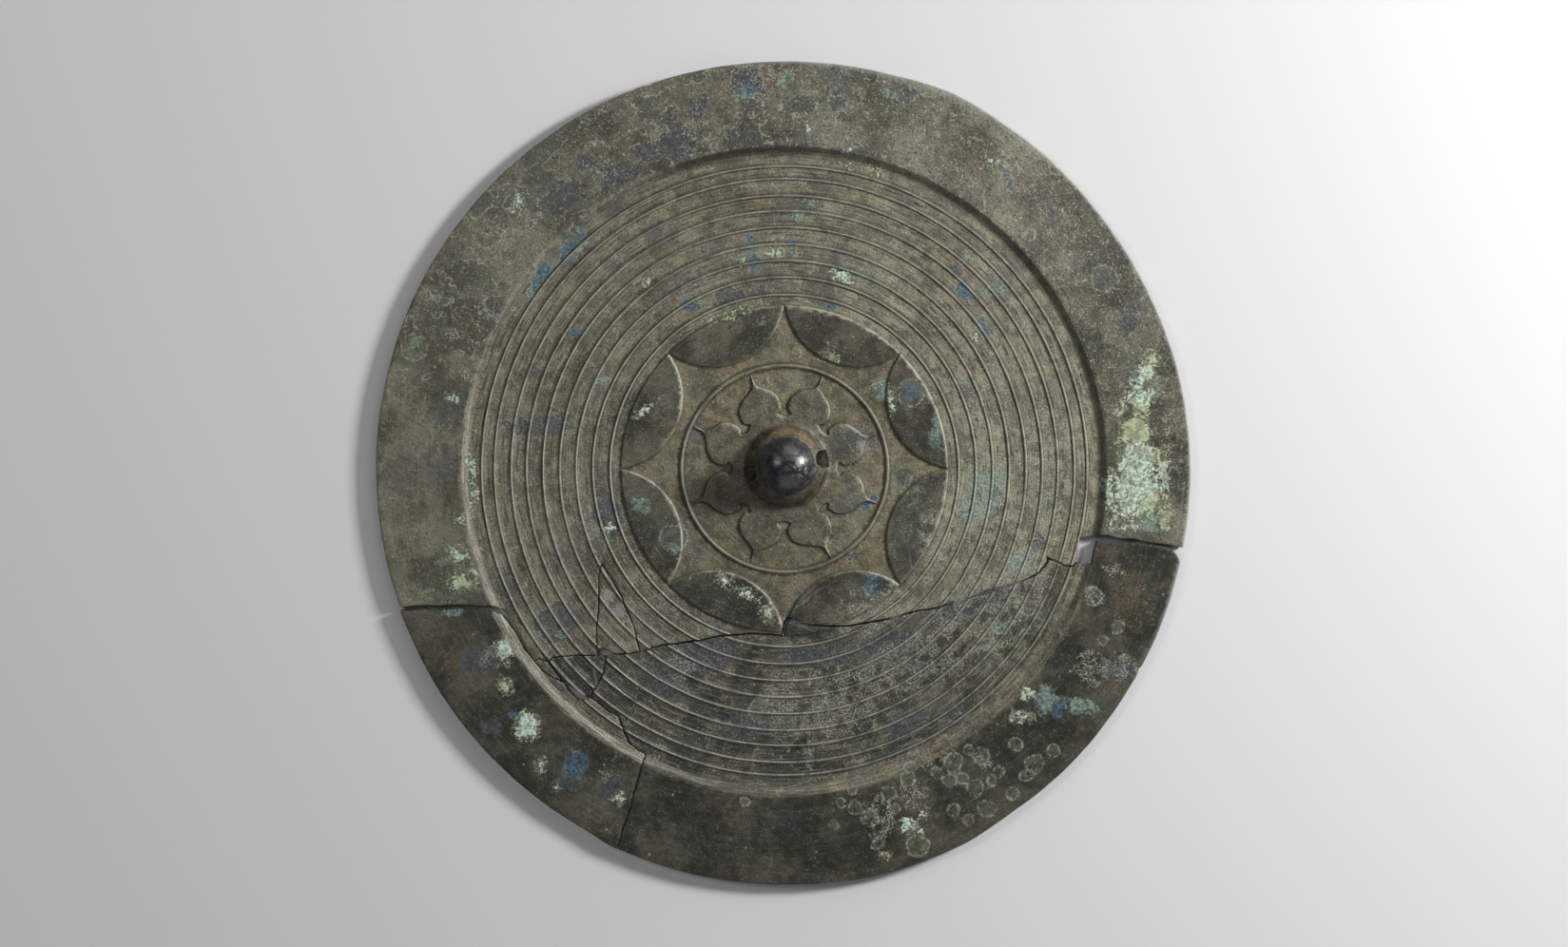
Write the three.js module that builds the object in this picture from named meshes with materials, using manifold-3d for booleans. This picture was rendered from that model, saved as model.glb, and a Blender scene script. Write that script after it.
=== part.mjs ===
// A giant bronze mirror of the linked-arc kind, broken in six and laid together again.
// It lies on its reflecting face, with the ornamented back up.
// Millimetres, +Z up, origin on the underside at the centre of the rings.

import * as THREE from "three";
import { mergeVertices } from "three/addons/utils/BufferGeometryUtils.js";
import Module from "manifold-3d";

// The disc and its rim
const MIRROR_RADIUS = 232.5;
const RIM_THICKNESS = 6.7;
const FIELD_THICKNESS = 4.2;
const STEP_TOP_RADIUS = 183.6;
const STEP_FOOT_RADIUS = 179.6;
const EDGE_CHAMFER = 0.9;
const FACE_EDGE_CHAMFER = 1.6;
const DISC_SEGMENTS = 72;

// How far the cast edge lies off a true circle: [angle in degrees, millimetres]
const EDGE_WAVER = [
  [0, -1.2], [35, -1.9], [55, 0], [66, 1.9], [76, 0], [95, -0.5], [120, 0], [240, 0.2],
  [245, 1.9], [270, 2.5], [285, 3.5], [295, 2.8], [305, 0.8], [335, -0.7],
];

// Nine fine ridges, from the innermost out, and the wider circle round the leaves
const RIDGE_RADII = [99.2, 109.1, 118.6, 127.9, 137.5, 146.8, 155.6, 165.1, 172.3];
const RIDGE_WIDTH = 1.9;
const RIDGE_HEIGHT = 0.8;
const CIRCLE_RADIUS = 58.7;
const CIRCLE_WIDTH = 3.0;
const CIRCLE_CREST_WIDTH = 1.2;
const CIRCLE_HEIGHT = 1.1;

// Eight arcs: each is the raised lens between a circle and one bow that joins two cusps
const ARC_COUNT = 8;
const ARC_CUSP_RADIUS = 93.3;
const ARC_DIP_RADIUS = 65.8;
const ARC_HEIGHT = 0.7;
const ARC_STEPS = 9;
const ARC_CUSP_MARGIN = 0.4;

// Eight leaves round the knob: [radius, half angle in degrees] from tip to hooked foot
const LEAF_HEIGHT = 0.8;
const LEAF_PROFILE = [
  [56.4, 0.4], [50.0, 1.2], [47.4, 5.5], [45.2, 11.5], [42.0, 16.5], [37.8, 19.5], [33.4, 19.9], [31.6, 15.0],
];
const LEAF_ROOT_RADIUS = 29.8;
const LEAF_SHOULDER_RADIUS = 40;
const LEAF_LEAN_RADIUS = 50;

// The hand-cut tips lean: degrees from the middle of each leaf, going round from +X
const LEAF_TIP_LEAN = [-1.5, 0, -2.5, -2.3, -2.0, 2.7, 5.0, 2.0];

// The knob, a small dome on a sloping skirt, and the arched hole for its cord
const KNOB_CENTRE = [1.0, 1.3];
const KNOB_BASE_RADIUS = 24.7;
const KNOB_SKIRT_RADIUS = 20.6;
const KNOB_SKIRT_HEIGHT = 7.2;
const KNOB_NECK_RADIUS = 16.6;
const KNOB_DOME_RADIUS = 17.4;
const KNOB_HEIGHT = 23.4;
const KNOB_SEGMENTS = 32;
const DOME_STEPS = 6;
const CORD_HOLE_WIDTH = 10.0;
const CORD_HOLE_HEIGHT = 9.4;
const CORD_HOLE_SILL = 1.2;
const CORD_HOLE_LENGTH = 60;
const CORD_HOLE_TURN = THREE.MathUtils.degToRad(11.4);
const CORD_HOLE_ARCH_STEPS = 6;

// The breaks, as the fragments lie now. Points beyond the rim only close an outline.
const BREAK_GAP = 0.7;
const MITRE_LIMIT = 3;
const SINK = 1.5;
const OUTLINE_REACH = 60;

const LEFT_BREAK_UPPER_SIDE = [
  [-250, -80.3], [-192, -77.6], [-165, -78.3], [-160, -81], [-154, -89.6], [-144, -107.3],
];
const LEFT_BREAK_LOWER_SIDE = [
  [-250, -80.9], [-208, -80.4], [-186.5, -79.6], [-165.3, -80.3], [-160.4, -82.6], [-154.6, -91.2],
  [-149, -100.2],
];
const SPLINTER_HEAD = [[-142.3, -109.4], [-140, -108], [-134.4, -110]];
const SPLINTER_OUTER_SIDE = [[-137.8, -114.9], [-133, -118.3], [-126, -121.7]];
const SPLINTER_INNER_SIDE = [[-130.2, -116.3]];
const RING_PIECE_TOP = [[-132.3, -107.4], [-115.7, -106.2], [-107.2, -106.1], [-101.4, -106.1]];
const RING_PIECE_RIGHT = [[-101.9, -109.4], [-103.3, -116.3], [-106.7, -123.8], [-110.9, -129.7]];
const RING_PIECE_OUTER_SIDE = [[-115.7, -129.3], [-121.2, -125.2]];
const OPEN_NOTCH = [[-122.8, -126.6], [-118.6, -130.4], [-114.5, -131.2]];
const TRIANGLE_LEFT = [[-103.9, -54.5], [-105.5, -59.5], [-105.9, -80.1], [-107.2, -96.7], [-107.2, -102.6]];
const TRIANGLE_FOOT = [[-103.9, -102], [-98.5, -105.3], [-89.4, -105.2]];
const TRIANGLE_RIGHT = [[-81.9, -103.9], [-85.3, -92.6], [-88.6, -83.1], [-92.7, -73.5], [-98.5, -62.8]];
const LONG_BREAK = [
  [-81.9, -103.9], [-75.2, -101.7], [-56.8, -98.9], [-35.1, -95.2], [-18.9, -93.8], [-1.8, -94.6],
  [-0.7, -89.3], [1.9, -84.7], [11.4, -88.1], [25.5, -89.9], [37.2, -89.3], [53.9, -86.6],
  [68.3, -82.8], [87.3, -79], [99.8, -75.5], [115.3, -70.2], [135.8, -64], [143.8, -59.7],
  [149.4, -53.8], [149.4, -50.7], [153.8, -52.6], [159.3, -54.7], [164.3, -55], [166.8, -52.6],
];
const RIGHT_BREAK_UPPER_SIDE = [
  [168, -39.5], [183, -38.4], [192.9, -39.6], [209.5, -42.6], [221.9, -44.9], [250, -45],
];
const RIGHT_BREAK_LOWER_SIDE = [
  [174.3, -53.8], [177, -41.3], [201.1, -42.5], [212, -44.2], [221.9, -46.8], [226, -53.1], [250, -60],
];
const BOTTOM_BREAK = [
  [-110.9, -129.7], [-99.9, -138.3], [-94.4, -141.1], [-90.9, -150.7], [-88.8, -155.6], [-83.3, -160.4],
  [-79.2, -162], [-82, -171.9], [-85.8, -184], [-87.3, -193.1], [-91.9, -205.2], [-94.9, -215.8],
  [-100, -250],
];

// Each loose fragment has slipped a little way from its place in the whole disc
const NO_SLIP = [0, 0];
const LEFT_RIM_SLIP = [0.3, -2.6];
const LOWER_SLIP = [-0.4, -2.0];
const RING_PIECE_SLIP = [0.3, -0.5];
const SPLINTER_SLIP = [0.1, -0.6];

const wasm = await Module();
wasm.setup();

// Closed solids from three.js shapes, and back

function toSolid(geometry) {
  const bare = geometry.clone();
  bare.deleteAttribute("normal");
  bare.deleteAttribute("uv");
  const merged = mergeVertices(bare, 1e-3);
  const corner = merged.index.array;
  const triangles = [];
  for (let i = 0; i < corner.length; i += 3) {
    const [a, b, c] = [corner[i], corner[i + 1], corner[i + 2]];
    if (a !== b && b !== c && c !== a) triangles.push(a, b, c);
  }
  return new wasm.Manifold(new wasm.Mesh({
    numProp: 3,
    vertProperties: Float32Array.from(merged.attributes.position.array),
    triVerts: Uint32Array.from(triangles),
  }));
}

function toGeometry(solid) {
  const mesh = solid.getMesh();
  const geometry = new THREE.BufferGeometry();
  geometry.setAttribute("position", new THREE.BufferAttribute(mesh.vertProperties, 3));
  geometry.setIndex(new THREE.BufferAttribute(mesh.triVerts, 1));
  geometry.computeVertexNormals();
  return geometry;
}

// A profile of [radius, height] turned about Z, from the axis below to the axis above
function turned(profile, segments) {
  const points = profile.map(([radius, height]) => new THREE.Vector2(radius, height));
  return new THREE.LatheGeometry(points, segments).rotateX(Math.PI / 2);
}

// A flat outline raised straight up between two heights
function raised(outline, low, high) {
  const shape = new THREE.Shape(outline.map(([x, y]) => new THREE.Vector2(x, y)));
  const geometry = new THREE.ExtrudeGeometry(shape, { depth: high - low, bevelEnabled: false });
  return geometry.translate(0, 0, low);
}

function polar(radius, angle) {
  return [radius * Math.cos(angle), radius * Math.sin(angle)];
}

// The waver of the edge at an angle, eased between the listed angles
function edgeWaver(angle) {
  const degrees = (THREE.MathUtils.radToDeg(angle) + 360) % 360;
  const count = EDGE_WAVER.length;
  for (let i = 0; i < count; i += 1) {
    const [from, low] = EDGE_WAVER[i];
    const [next, high] = EDGE_WAVER[(i + 1) % count];
    const to = i + 1 < count ? next : next + 360;
    if (degrees >= from && degrees <= to) {
      return THREE.MathUtils.lerp(low, high, THREE.MathUtils.smoothstep(degrees, from, to));
    }
  }
  return 0;
}

// The plain disc: flat face, rim, step down to the field, ridges and circle

function discProfile() {
  const profile = [
    [0, 0],
    [MIRROR_RADIUS - FACE_EDGE_CHAMFER, 0],
    [MIRROR_RADIUS, FACE_EDGE_CHAMFER],
    [MIRROR_RADIUS, RIM_THICKNESS - EDGE_CHAMFER],
    [MIRROR_RADIUS - EDGE_CHAMFER, RIM_THICKNESS],
    [STEP_TOP_RADIUS, RIM_THICKNESS],
    [STEP_FOOT_RADIUS, FIELD_THICKNESS],
  ];
  for (const radius of [...RIDGE_RADII].reverse()) {
    profile.push([radius + RIDGE_WIDTH / 2, FIELD_THICKNESS]);
    profile.push([radius, FIELD_THICKNESS + RIDGE_HEIGHT]);
    profile.push([radius - RIDGE_WIDTH / 2, FIELD_THICKNESS]);
  }
  profile.push([CIRCLE_RADIUS + CIRCLE_WIDTH / 2, FIELD_THICKNESS]);
  profile.push([CIRCLE_RADIUS + CIRCLE_CREST_WIDTH / 2, FIELD_THICKNESS + CIRCLE_HEIGHT]);
  profile.push([CIRCLE_RADIUS - CIRCLE_CREST_WIDTH / 2, FIELD_THICKNESS + CIRCLE_HEIGHT]);
  profile.push([CIRCLE_RADIUS - CIRCLE_WIDTH / 2, FIELD_THICKNESS]);
  profile.push([0, FIELD_THICKNESS]);
  return profile;
}

function makeDisc() {
  const geometry = turned(discProfile(), DISC_SEGMENTS);
  const position = geometry.attributes.position;
  for (let i = 0; i < position.count; i += 1) {
    const radius = Math.hypot(position.getX(i), position.getY(i));
    if (radius > STEP_TOP_RADIUS + EDGE_CHAMFER) {
      const angle = Math.atan2(position.getY(i), position.getX(i));
      const [x, y] = polar(radius + edgeWaver(angle), angle);
      position.setXY(i, x, y);
    }
  }
  return toSolid(geometry);
}

// The eight linked arcs

function arcOutline(middle) {
  const halfStep = Math.PI / ARC_COUNT;
  const halfChord = ARC_CUSP_RADIUS * Math.sin(halfStep);
  const bow = ARC_CUSP_RADIUS * Math.cos(halfStep) - ARC_DIP_RADIUS;
  const bowRadius = (halfChord ** 2 + bow ** 2) / (2 * bow);
  const bowCentre = ARC_DIP_RADIUS + bowRadius;
  const bowHalfAngle = Math.asin(halfChord / bowRadius);
  const rimHalfAngle = halfStep - ARC_CUSP_MARGIN / ARC_CUSP_RADIUS;
  const outline = [];
  for (let i = 0; i <= ARC_STEPS; i += 1) {
    const angle = middle + THREE.MathUtils.lerp(-rimHalfAngle, rimHalfAngle, i / ARC_STEPS);
    outline.push(polar(ARC_CUSP_RADIUS, angle));
  }
  const [centreX, centreY] = polar(bowCentre, middle);
  for (let i = 1; i < ARC_STEPS; i += 1) {
    const angle = middle + Math.PI + THREE.MathUtils.lerp(-bowHalfAngle, bowHalfAngle, i / ARC_STEPS);
    const [x, y] = polar(bowRadius, angle);
    outline.push([centreX + x, centreY + y]);
  }
  return outline;
}

// The eight leaves, joined at their roots round the knob

function leavesOutline() {
  const outline = [];
  for (let leaf = 0; leaf < ARC_COUNT; leaf += 1) {
    const middle = ((leaf + 0.5) * 2 * Math.PI) / ARC_COUNT;
    const notch = middle + Math.PI / ARC_COUNT;
    const side = LEAF_PROFILE.map(([radius, half]) => {
      const share = THREE.MathUtils.smoothstep(radius, LEAF_SHOULDER_RADIUS, LEAF_LEAN_RADIUS);
      const lean = THREE.MathUtils.degToRad(LEAF_TIP_LEAN[leaf] * share);
      return [radius, middle + lean, THREE.MathUtils.degToRad(half)];
    });
    for (const [radius, spine, half] of [...side].reverse()) {
      outline.push(polar(radius, spine - half));
    }
    for (const [radius, spine, half] of side) {
      outline.push(polar(radius, spine + half));
    }
    outline.push(polar(LEAF_ROOT_RADIUS, notch));
  }
  return outline;
}

// The knob and the hole for its cord

function knobProfile() {
  const base = FIELD_THICKNESS - SINK;
  const domeCentre = KNOB_HEIGHT - KNOB_DOME_RADIUS;
  const neckAngle = Math.asin(KNOB_NECK_RADIUS / KNOB_DOME_RADIUS);
  const profile = [
    [0, base],
    [KNOB_BASE_RADIUS, base],
    [KNOB_BASE_RADIUS, FIELD_THICKNESS + LEAF_HEIGHT],
    [KNOB_SKIRT_RADIUS, FIELD_THICKNESS + KNOB_SKIRT_HEIGHT],
  ];
  for (let i = 0; i <= DOME_STEPS; i += 1) {
    const angle = neckAngle * (1 - i / DOME_STEPS);
    const height = FIELD_THICKNESS + domeCentre + KNOB_DOME_RADIUS * Math.cos(angle);
    profile.push([KNOB_DOME_RADIUS * Math.sin(angle), height]);
  }
  return profile;
}

function cordHole() {
  const half = CORD_HOLE_WIDTH / 2;
  const shoulder = CORD_HOLE_HEIGHT - half;
  const outline = [[-half, 0], [half, 0]];
  for (let i = 0; i <= CORD_HOLE_ARCH_STEPS; i += 1) {
    const [x, y] = polar(half, (Math.PI * i) / CORD_HOLE_ARCH_STEPS);
    outline.push([x, shoulder + y]);
  }
  const geometry = raised(outline, -CORD_HOLE_LENGTH / 2, CORD_HOLE_LENGTH / 2);
  geometry.rotateX(Math.PI / 2).rotateZ(Math.PI / 2 + CORD_HOLE_TURN);
  return toSolid(geometry.translate(KNOB_CENTRE[0], KNOB_CENTRE[1], FIELD_THICKNESS + CORD_HOLE_SILL));
}

// The whole casting, before it broke

function makeMirror() {
  const knob = turned(knobProfile(), KNOB_SEGMENTS).translate(KNOB_CENTRE[0], KNOB_CENTRE[1], 0);
  const sunk = FIELD_THICKNESS - SINK;
  let mirror = makeDisc().add(toSolid(raised(leavesOutline(), sunk, FIELD_THICKNESS + LEAF_HEIGHT)));
  for (let i = 0; i < ARC_COUNT; i += 1) {
    const outline = arcOutline(((i + 0.5) * 2 * Math.PI) / ARC_COUNT);
    mirror = mirror.add(toSolid(raised(outline, sunk, FIELD_THICKNESS + ARC_HEIGHT)));
  }
  return mirror.add(toSolid(knob)).subtract(cordHole());
}

// Outlines of the fragments, drawn in by half of the gap along every break

const SHARPEST_BISECTOR = 0.1;

function drawnIn(outline, distance) {
  const turnsLeft = THREE.ShapeUtils.area(outline.map(([x, y]) => new THREE.Vector2(x, y))) > 0;
  const points = turnsLeft ? outline : [...outline].reverse();
  const count = points.length;
  return points.map((point, i) => {
    const here = new THREE.Vector2(...point);
    const before = here.clone().sub(new THREE.Vector2(...points[(i + count - 1) % count])).normalize();
    const after = new THREE.Vector2(...points[(i + 1) % count]).sub(here).normalize();
    const inward = new THREE.Vector2(-before.y - after.y, before.x + after.x).normalize();
    const squareness = Math.max(SHARPEST_BISECTOR, inward.dot(new THREE.Vector2(-after.y, after.x)));
    const mitre = Math.min(MITRE_LIMIT, 1 / squareness);
    return here.addScaledVector(inward, distance * mitre).toArray();
  });
}

function fragment(mirror, outline, slip) {
  const prism = raised(drawnIn(outline, BREAK_GAP / 2), -SINK, RIM_THICKNESS + OUTLINE_REACH);
  return mirror.translate([slip[0], slip[1], 0]).intersect(toSolid(prism));
}

const reversed = (line) => [...line].reverse();

const UPPER_OUTLINE = [
  ...LEFT_BREAK_UPPER_SIDE, ...SPLINTER_HEAD, ...RING_PIECE_TOP.slice(0, 3), ...reversed(TRIANGLE_LEFT),
  ...reversed(TRIANGLE_RIGHT), ...LONG_BREAK.slice(1), ...RIGHT_BREAK_UPPER_SIDE, [250, 250], [-250, 250],
];
const LEFT_RIM_OUTLINE = [
  ...LEFT_BREAK_LOWER_SIDE, SPLINTER_HEAD[0], ...SPLINTER_OUTER_SIDE, ...OPEN_NOTCH, ...BOTTOM_BREAK,
  [-250, -250],
];
const LOWER_OUTLINE = [
  ...reversed(BOTTOM_BREAK), ...reversed(RING_PIECE_RIGHT.slice(0, 3)), RING_PIECE_TOP[3], TRIANGLE_FOOT[2],
  ...LONG_BREAK, ...RIGHT_BREAK_LOWER_SIDE, [250, -250],
];
const TRIANGLE_OUTLINE = [...TRIANGLE_LEFT, ...TRIANGLE_FOOT, ...TRIANGLE_RIGHT];
const RING_PIECE_OUTLINE = [
  SPLINTER_HEAD[2], ...RING_PIECE_TOP, ...RING_PIECE_RIGHT, ...RING_PIECE_OUTER_SIDE,
  SPLINTER_OUTER_SIDE[2], ...SPLINTER_INNER_SIDE,
];
const SPLINTER_OUTLINE = [...SPLINTER_HEAD, ...SPLINTER_INNER_SIDE, ...reversed(SPLINTER_OUTER_SIDE)];

// Old bronze: olive brown over most of it, darker where a fragment has weathered apart

const OLIVE = 0x5f5c4c;
const DULL_OLIVE = 0x54523f;
const DARK = 0x474744;

function bronze(color) {
  return new THREE.MeshStandardMaterial({ color, roughness: 0.5, metalness: 0.6 });
}

const FRAGMENTS = [
  { name: "upper_fragment", outline: UPPER_OUTLINE, slip: NO_SLIP, color: OLIVE },
  { name: "left_rim_fragment", outline: LEFT_RIM_OUTLINE, slip: LEFT_RIM_SLIP, color: DULL_OLIVE },
  { name: "lower_fragment", outline: LOWER_OUTLINE, slip: LOWER_SLIP, color: DARK },
  { name: "triangle_fragment", outline: TRIANGLE_OUTLINE, slip: NO_SLIP, color: DULL_OLIVE },
  { name: "ring_fragment", outline: RING_PIECE_OUTLINE, slip: RING_PIECE_SLIP, color: DARK },
  { name: "sliver_fragment", outline: SPLINTER_OUTLINE, slip: SPLINTER_SLIP, color: DARK },
];

const wholeMirror = makeMirror();
const brokenMirror = new THREE.Group();
for (const { name, outline, slip, color } of FRAGMENTS) {
  const piece = new THREE.Mesh(toGeometry(fragment(wholeMirror, outline, slip)), bronze(color));
  piece.name = name;
  brokenMirror.add(piece);
}

export default brokenMirror;
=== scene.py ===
import math

import bpy
import numpy as np
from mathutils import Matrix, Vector
from mathutils.geometry import delaunay_2d_cdt
from mathutils.kdtree import KDTree


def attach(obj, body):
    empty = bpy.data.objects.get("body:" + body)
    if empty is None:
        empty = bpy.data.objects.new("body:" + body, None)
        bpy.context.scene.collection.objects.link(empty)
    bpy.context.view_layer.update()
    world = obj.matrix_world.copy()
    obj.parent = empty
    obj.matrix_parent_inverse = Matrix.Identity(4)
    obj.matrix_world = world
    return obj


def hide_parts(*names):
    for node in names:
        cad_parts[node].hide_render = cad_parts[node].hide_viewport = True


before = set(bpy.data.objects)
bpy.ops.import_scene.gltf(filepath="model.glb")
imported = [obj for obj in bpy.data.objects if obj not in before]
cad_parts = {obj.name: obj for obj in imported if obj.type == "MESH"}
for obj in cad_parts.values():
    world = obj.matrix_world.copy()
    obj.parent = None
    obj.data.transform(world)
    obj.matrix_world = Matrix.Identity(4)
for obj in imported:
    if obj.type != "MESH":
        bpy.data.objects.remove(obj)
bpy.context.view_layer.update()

# The upper fragment.
# The largest piece of one heavy bronze disc, poured in a two-part mould that was cut by hand: a plain rim,
# a step down to the field, nine ridges, eight linked arcs, a circle, eight leaves and a pierced knob. It
# lies loose on its reflecting face.
#
# The casting as it was before it broke, in millimetres. The other fragments are cut from it too.

MM = 0.001

MIRROR_RADIUS = 232.5
EDGE_SHRINK = 0.15
RIM_THICKNESS = 6.7
FIELD_THICKNESS = 4.2
STEP_TOP_RADIUS = 183.6
STEP_FOOT_RADIUS = 179.6
STEP_MIDDLE = 181.6
EDGE_ROUNDING = 0.9
FACE_CHAMFER = 1.6
FACE_CHAMFER_REACH = 4.0

# How far the edge lies off a true circle: (angle in degrees, millimetres), eased in between
EDGE_WAVER = [
    (0, -1.2), (35, -1.9), (55, 0.0), (66, 1.9), (76, 0.0), (95, -0.5), (120, 0.0), (240, 0.2),
    (245, 1.9), (270, 2.5), (285, 3.5), (295, 2.8), (305, 0.8), (335, -0.7), (360, -1.2),
]
# Small bites out of the edge: (angle in degrees, depth, half width)
EDGE_NICKS = [
    (109.5, 0.9, 3.0), (112.0, 0.6, 1.6), (132.0, 0.6, 2.2), (331.0, 0.8, 3.0), (48.0, 0.5, 2.0),
]
EDGE_RIPPLE = 0.12

RIDGE_RADII = [99.2, 109.1, 118.6, 127.9, 137.5, 146.8, 155.6, 165.1, 172.3]
RIDGE_HALF_WIDTH = 0.9
RIDGE_HEIGHT = 0.85
CIRCLE_RADIUS = 58.7
CIRCLE_HALF_WIDTH = 1.35
CIRCLE_HEIGHT = 1.1

ARC_COUNT = 8
ARC_CUSP_RADIUS = 93.3
ARC_DIP_RADIUS = 65.8
ARC_HEIGHT = 1.1
ARC_EDGE = 1.0

LEAF_HEIGHT = 1.15
LEAF_EDGE = 0.8
# A leaf's half width by distance from the middle: (millimetres, degrees), and how far each tip leans
LEAF_PROFILE = [
    (56.4, 0.4), (50.0, 1.2), (47.4, 5.5), (45.2, 11.5), (42.0, 16.5), (37.8, 19.5), (33.4, 19.9),
    (31.6, 15.0),
]
LEAF_ROOT_RADIUS = 29.8
LEAF_SHOULDER_RADIUS = 40.0
LEAF_LEAN_RADIUS = 50.0
LEAF_TIP_LEAN = [-1.5, 0.0, -2.5, -2.3, -2.0, 2.7, 5.0, 2.0]

KNOB_CENTRE = np.array([1.0, 1.3])
KNOB_BASE_RADIUS = 24.7
KNOB_SKIRT_RADIUS = 20.6
KNOB_SKIRT_HEIGHT = 7.2
KNOB_NECK_RADIUS = 16.6
KNOB_DOME_RADIUS = 17.4
KNOB_HEIGHT = 23.2

# How far apart points stand along the lines of the design, and the corners that stay sharp
LOOP_STEP = 1.25
FINE_STEP = 0.95
SHARP_ANGLE = 50.0


def smooth(value, low, high):
    t = np.clip((value - low) / (high - low), 0.0, 1.0)
    return t * t * (3.0 - 2.0 * t)


def polar(radius, angle):
    return np.stack([radius * np.cos(angle), radius * np.sin(angle)], axis=-1)


def degrees_apart(angle, middle):
    return np.abs((angle - middle + 180.0) % 360.0 - 180.0)


def edge_radius(angle):
    """The cast edge's distance from the centre, with its waver, small unevenness and nicks."""
    degrees = np.degrees(angle) % 360.0
    listed, lies = np.array(EDGE_WAVER).T
    place = np.clip(np.searchsorted(listed, degrees, side="right") - 1, 0, len(listed) - 2)
    share = smooth(degrees, listed[place], listed[place + 1])
    radius = MIRROR_RADIUS - EDGE_SHRINK + lies[place] + (lies[place + 1] - lies[place]) * share
    radius = radius - EDGE_RIPPLE * (1.0 + np.sin(23.0 * angle + 1.7) * np.sin(41.0 * angle))
    for nick_angle, depth, half_width in EDGE_NICKS:
        away = degrees_apart(degrees, nick_angle) * math.pi / 180.0 * MIRROR_RADIUS
        radius = radius - depth * (1.0 - smooth(away, 0.0, half_width))
    return radius


def circle(radius, step, centre=(0.0, 0.0)):
    count = max(8, int(round(2.0 * math.pi * radius / step)))
    return polar(radius, np.arange(count) * 2.0 * math.pi / count) + np.array(centre)


def edge_loop(inset):
    count = int(round(2.0 * math.pi * MIRROR_RADIUS / LOOP_STEP))
    angle = np.arange(count) * 2.0 * math.pi / count
    return polar(edge_radius(angle) - inset, angle)


# The bow that joins two cusps is part of a circle that stands outside the ring of arcs
half_chord = ARC_CUSP_RADIUS * math.sin(math.pi / ARC_COUNT)
bow_depth = ARC_CUSP_RADIUS * math.cos(math.pi / ARC_COUNT) - ARC_DIP_RADIUS
BOW_RADIUS = (half_chord ** 2 + bow_depth ** 2) / (2.0 * bow_depth)
BOW_CENTRE_RADIUS = ARC_DIP_RADIUS + BOW_RADIUS
ARC_MIDDLES = (np.arange(ARC_COUNT) + 0.5) * 2.0 * math.pi / ARC_COUNT


def arc_loop(middle, inset):
    """The outline of one arc, drawn in by an inset."""
    outer, bow, apart = ARC_CUSP_RADIUS - inset, BOW_RADIUS - inset, BOW_CENTRE_RADIUS
    outer_half = math.acos((outer ** 2 + apart ** 2 - bow ** 2) / (2.0 * outer * apart))
    bow_half = math.acos((bow ** 2 + apart ** 2 - outer ** 2) / (2.0 * bow * apart))
    outer_count = int(2.0 * outer_half * outer / FINE_STEP)
    bow_count = int(2.0 * bow_half * bow / FINE_STEP)
    rim_side = polar(outer, middle + np.linspace(-outer_half, outer_half, outer_count))
    bow_angles = middle + math.pi + np.linspace(-bow_half, bow_half, bow_count)[1:-1]
    bow_side = polar(apart, middle) + polar(bow, bow_angles)
    return np.concatenate([rim_side, bow_side])


def arc_depth(points):
    """How far inside the nearest arc's outline each point lies."""
    depth = np.full(len(points), -99.0)
    radius = np.hypot(*points.T)
    for middle in ARC_MIDDLES:
        from_bow = np.hypot(*(points - polar(BOW_CENTRE_RADIUS, middle)).T)
        depth = np.maximum(depth, np.minimum(ARC_CUSP_RADIUS - radius, BOW_RADIUS - from_bow))
    return depth


def rounded(outline, rounds):
    """Cuts the corners of a closed outline a few times, so that it curves."""
    for _ in range(rounds):
        after = np.roll(outline, -1, axis=0)
        corners = [0.8 * outline + 0.2 * after, 0.2 * outline + 0.8 * after]
        outline = np.stack(corners, axis=1).reshape(-1, 2)
    return outline


def leaves_outline():
    points = []
    for middle, lean in zip(ARC_MIDDLES, LEAF_TIP_LEAN):
        side = []
        for radius, half in LEAF_PROFILE:
            share = float(smooth(radius, LEAF_SHOULDER_RADIUS, LEAF_LEAN_RADIUS))
            side.append((radius, middle + math.radians(lean) * share, math.radians(half)))
        points += [polar(radius, spine - half) for radius, spine, half in reversed(side)]
        points += [polar(radius, spine + half) for radius, spine, half in side]
        points.append(polar(LEAF_ROOT_RADIUS, middle + math.pi / ARC_COUNT))
    return rounded(np.array(points), 2)


def outline_depth(points, outline):
    """Signed distance to a closed outline, positive inside it."""
    start, end = outline, np.roll(outline, -1, axis=0)
    along = end - start
    best = np.full(len(points), 1e9)
    crossings = np.zeros(len(points), int)
    for a, b, d in zip(start, end, along):
        away = points - a
        share = np.clip(away @ d / (d @ d), 0.0, 1.0)
        best = np.minimum(best, np.hypot(*(away - share[:, None] * d).T))
        straddles = (points[:, 1] < a[1]) != (points[:, 1] < b[1])
        if abs(d[1]) > 1e-12:
            crossings += straddles & (points[:, 0] < a[0] + (points[:, 1] - a[1]) * d[0] / d[1])
    return np.where(crossings % 2 == 1, best, -best)


LEAVES = leaves_outline()


def drawn_in(outline, distance):
    """Moves a closed outline's points inwards by a distance, one for all or one for each."""
    before = outline - np.roll(outline, 1, axis=0)
    after = np.roll(outline, -1, axis=0) - outline
    before /= np.maximum(np.hypot(*before.T), 1e-9)[:, None]
    after /= np.maximum(np.hypot(*after.T), 1e-9)[:, None]
    x, y = outline.T
    turns_left = np.sum(x * np.roll(y, -1) - np.roll(x, -1) * y) > 0.0
    inward = np.stack([-before[:, 1] - after[:, 1], before[:, 0] + after[:, 0]], axis=1)
    inward /= np.maximum(np.hypot(*inward.T), 1e-9)[:, None]
    square = np.sum(inward * np.stack([-after[:, 1], after[:, 0]], axis=1), axis=1)
    mitre = (1 if turns_left else -1) / np.maximum(square, 0.4)
    return outline + inward * (np.broadcast_to(distance, len(outline)) * mitre)[:, None]


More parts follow.
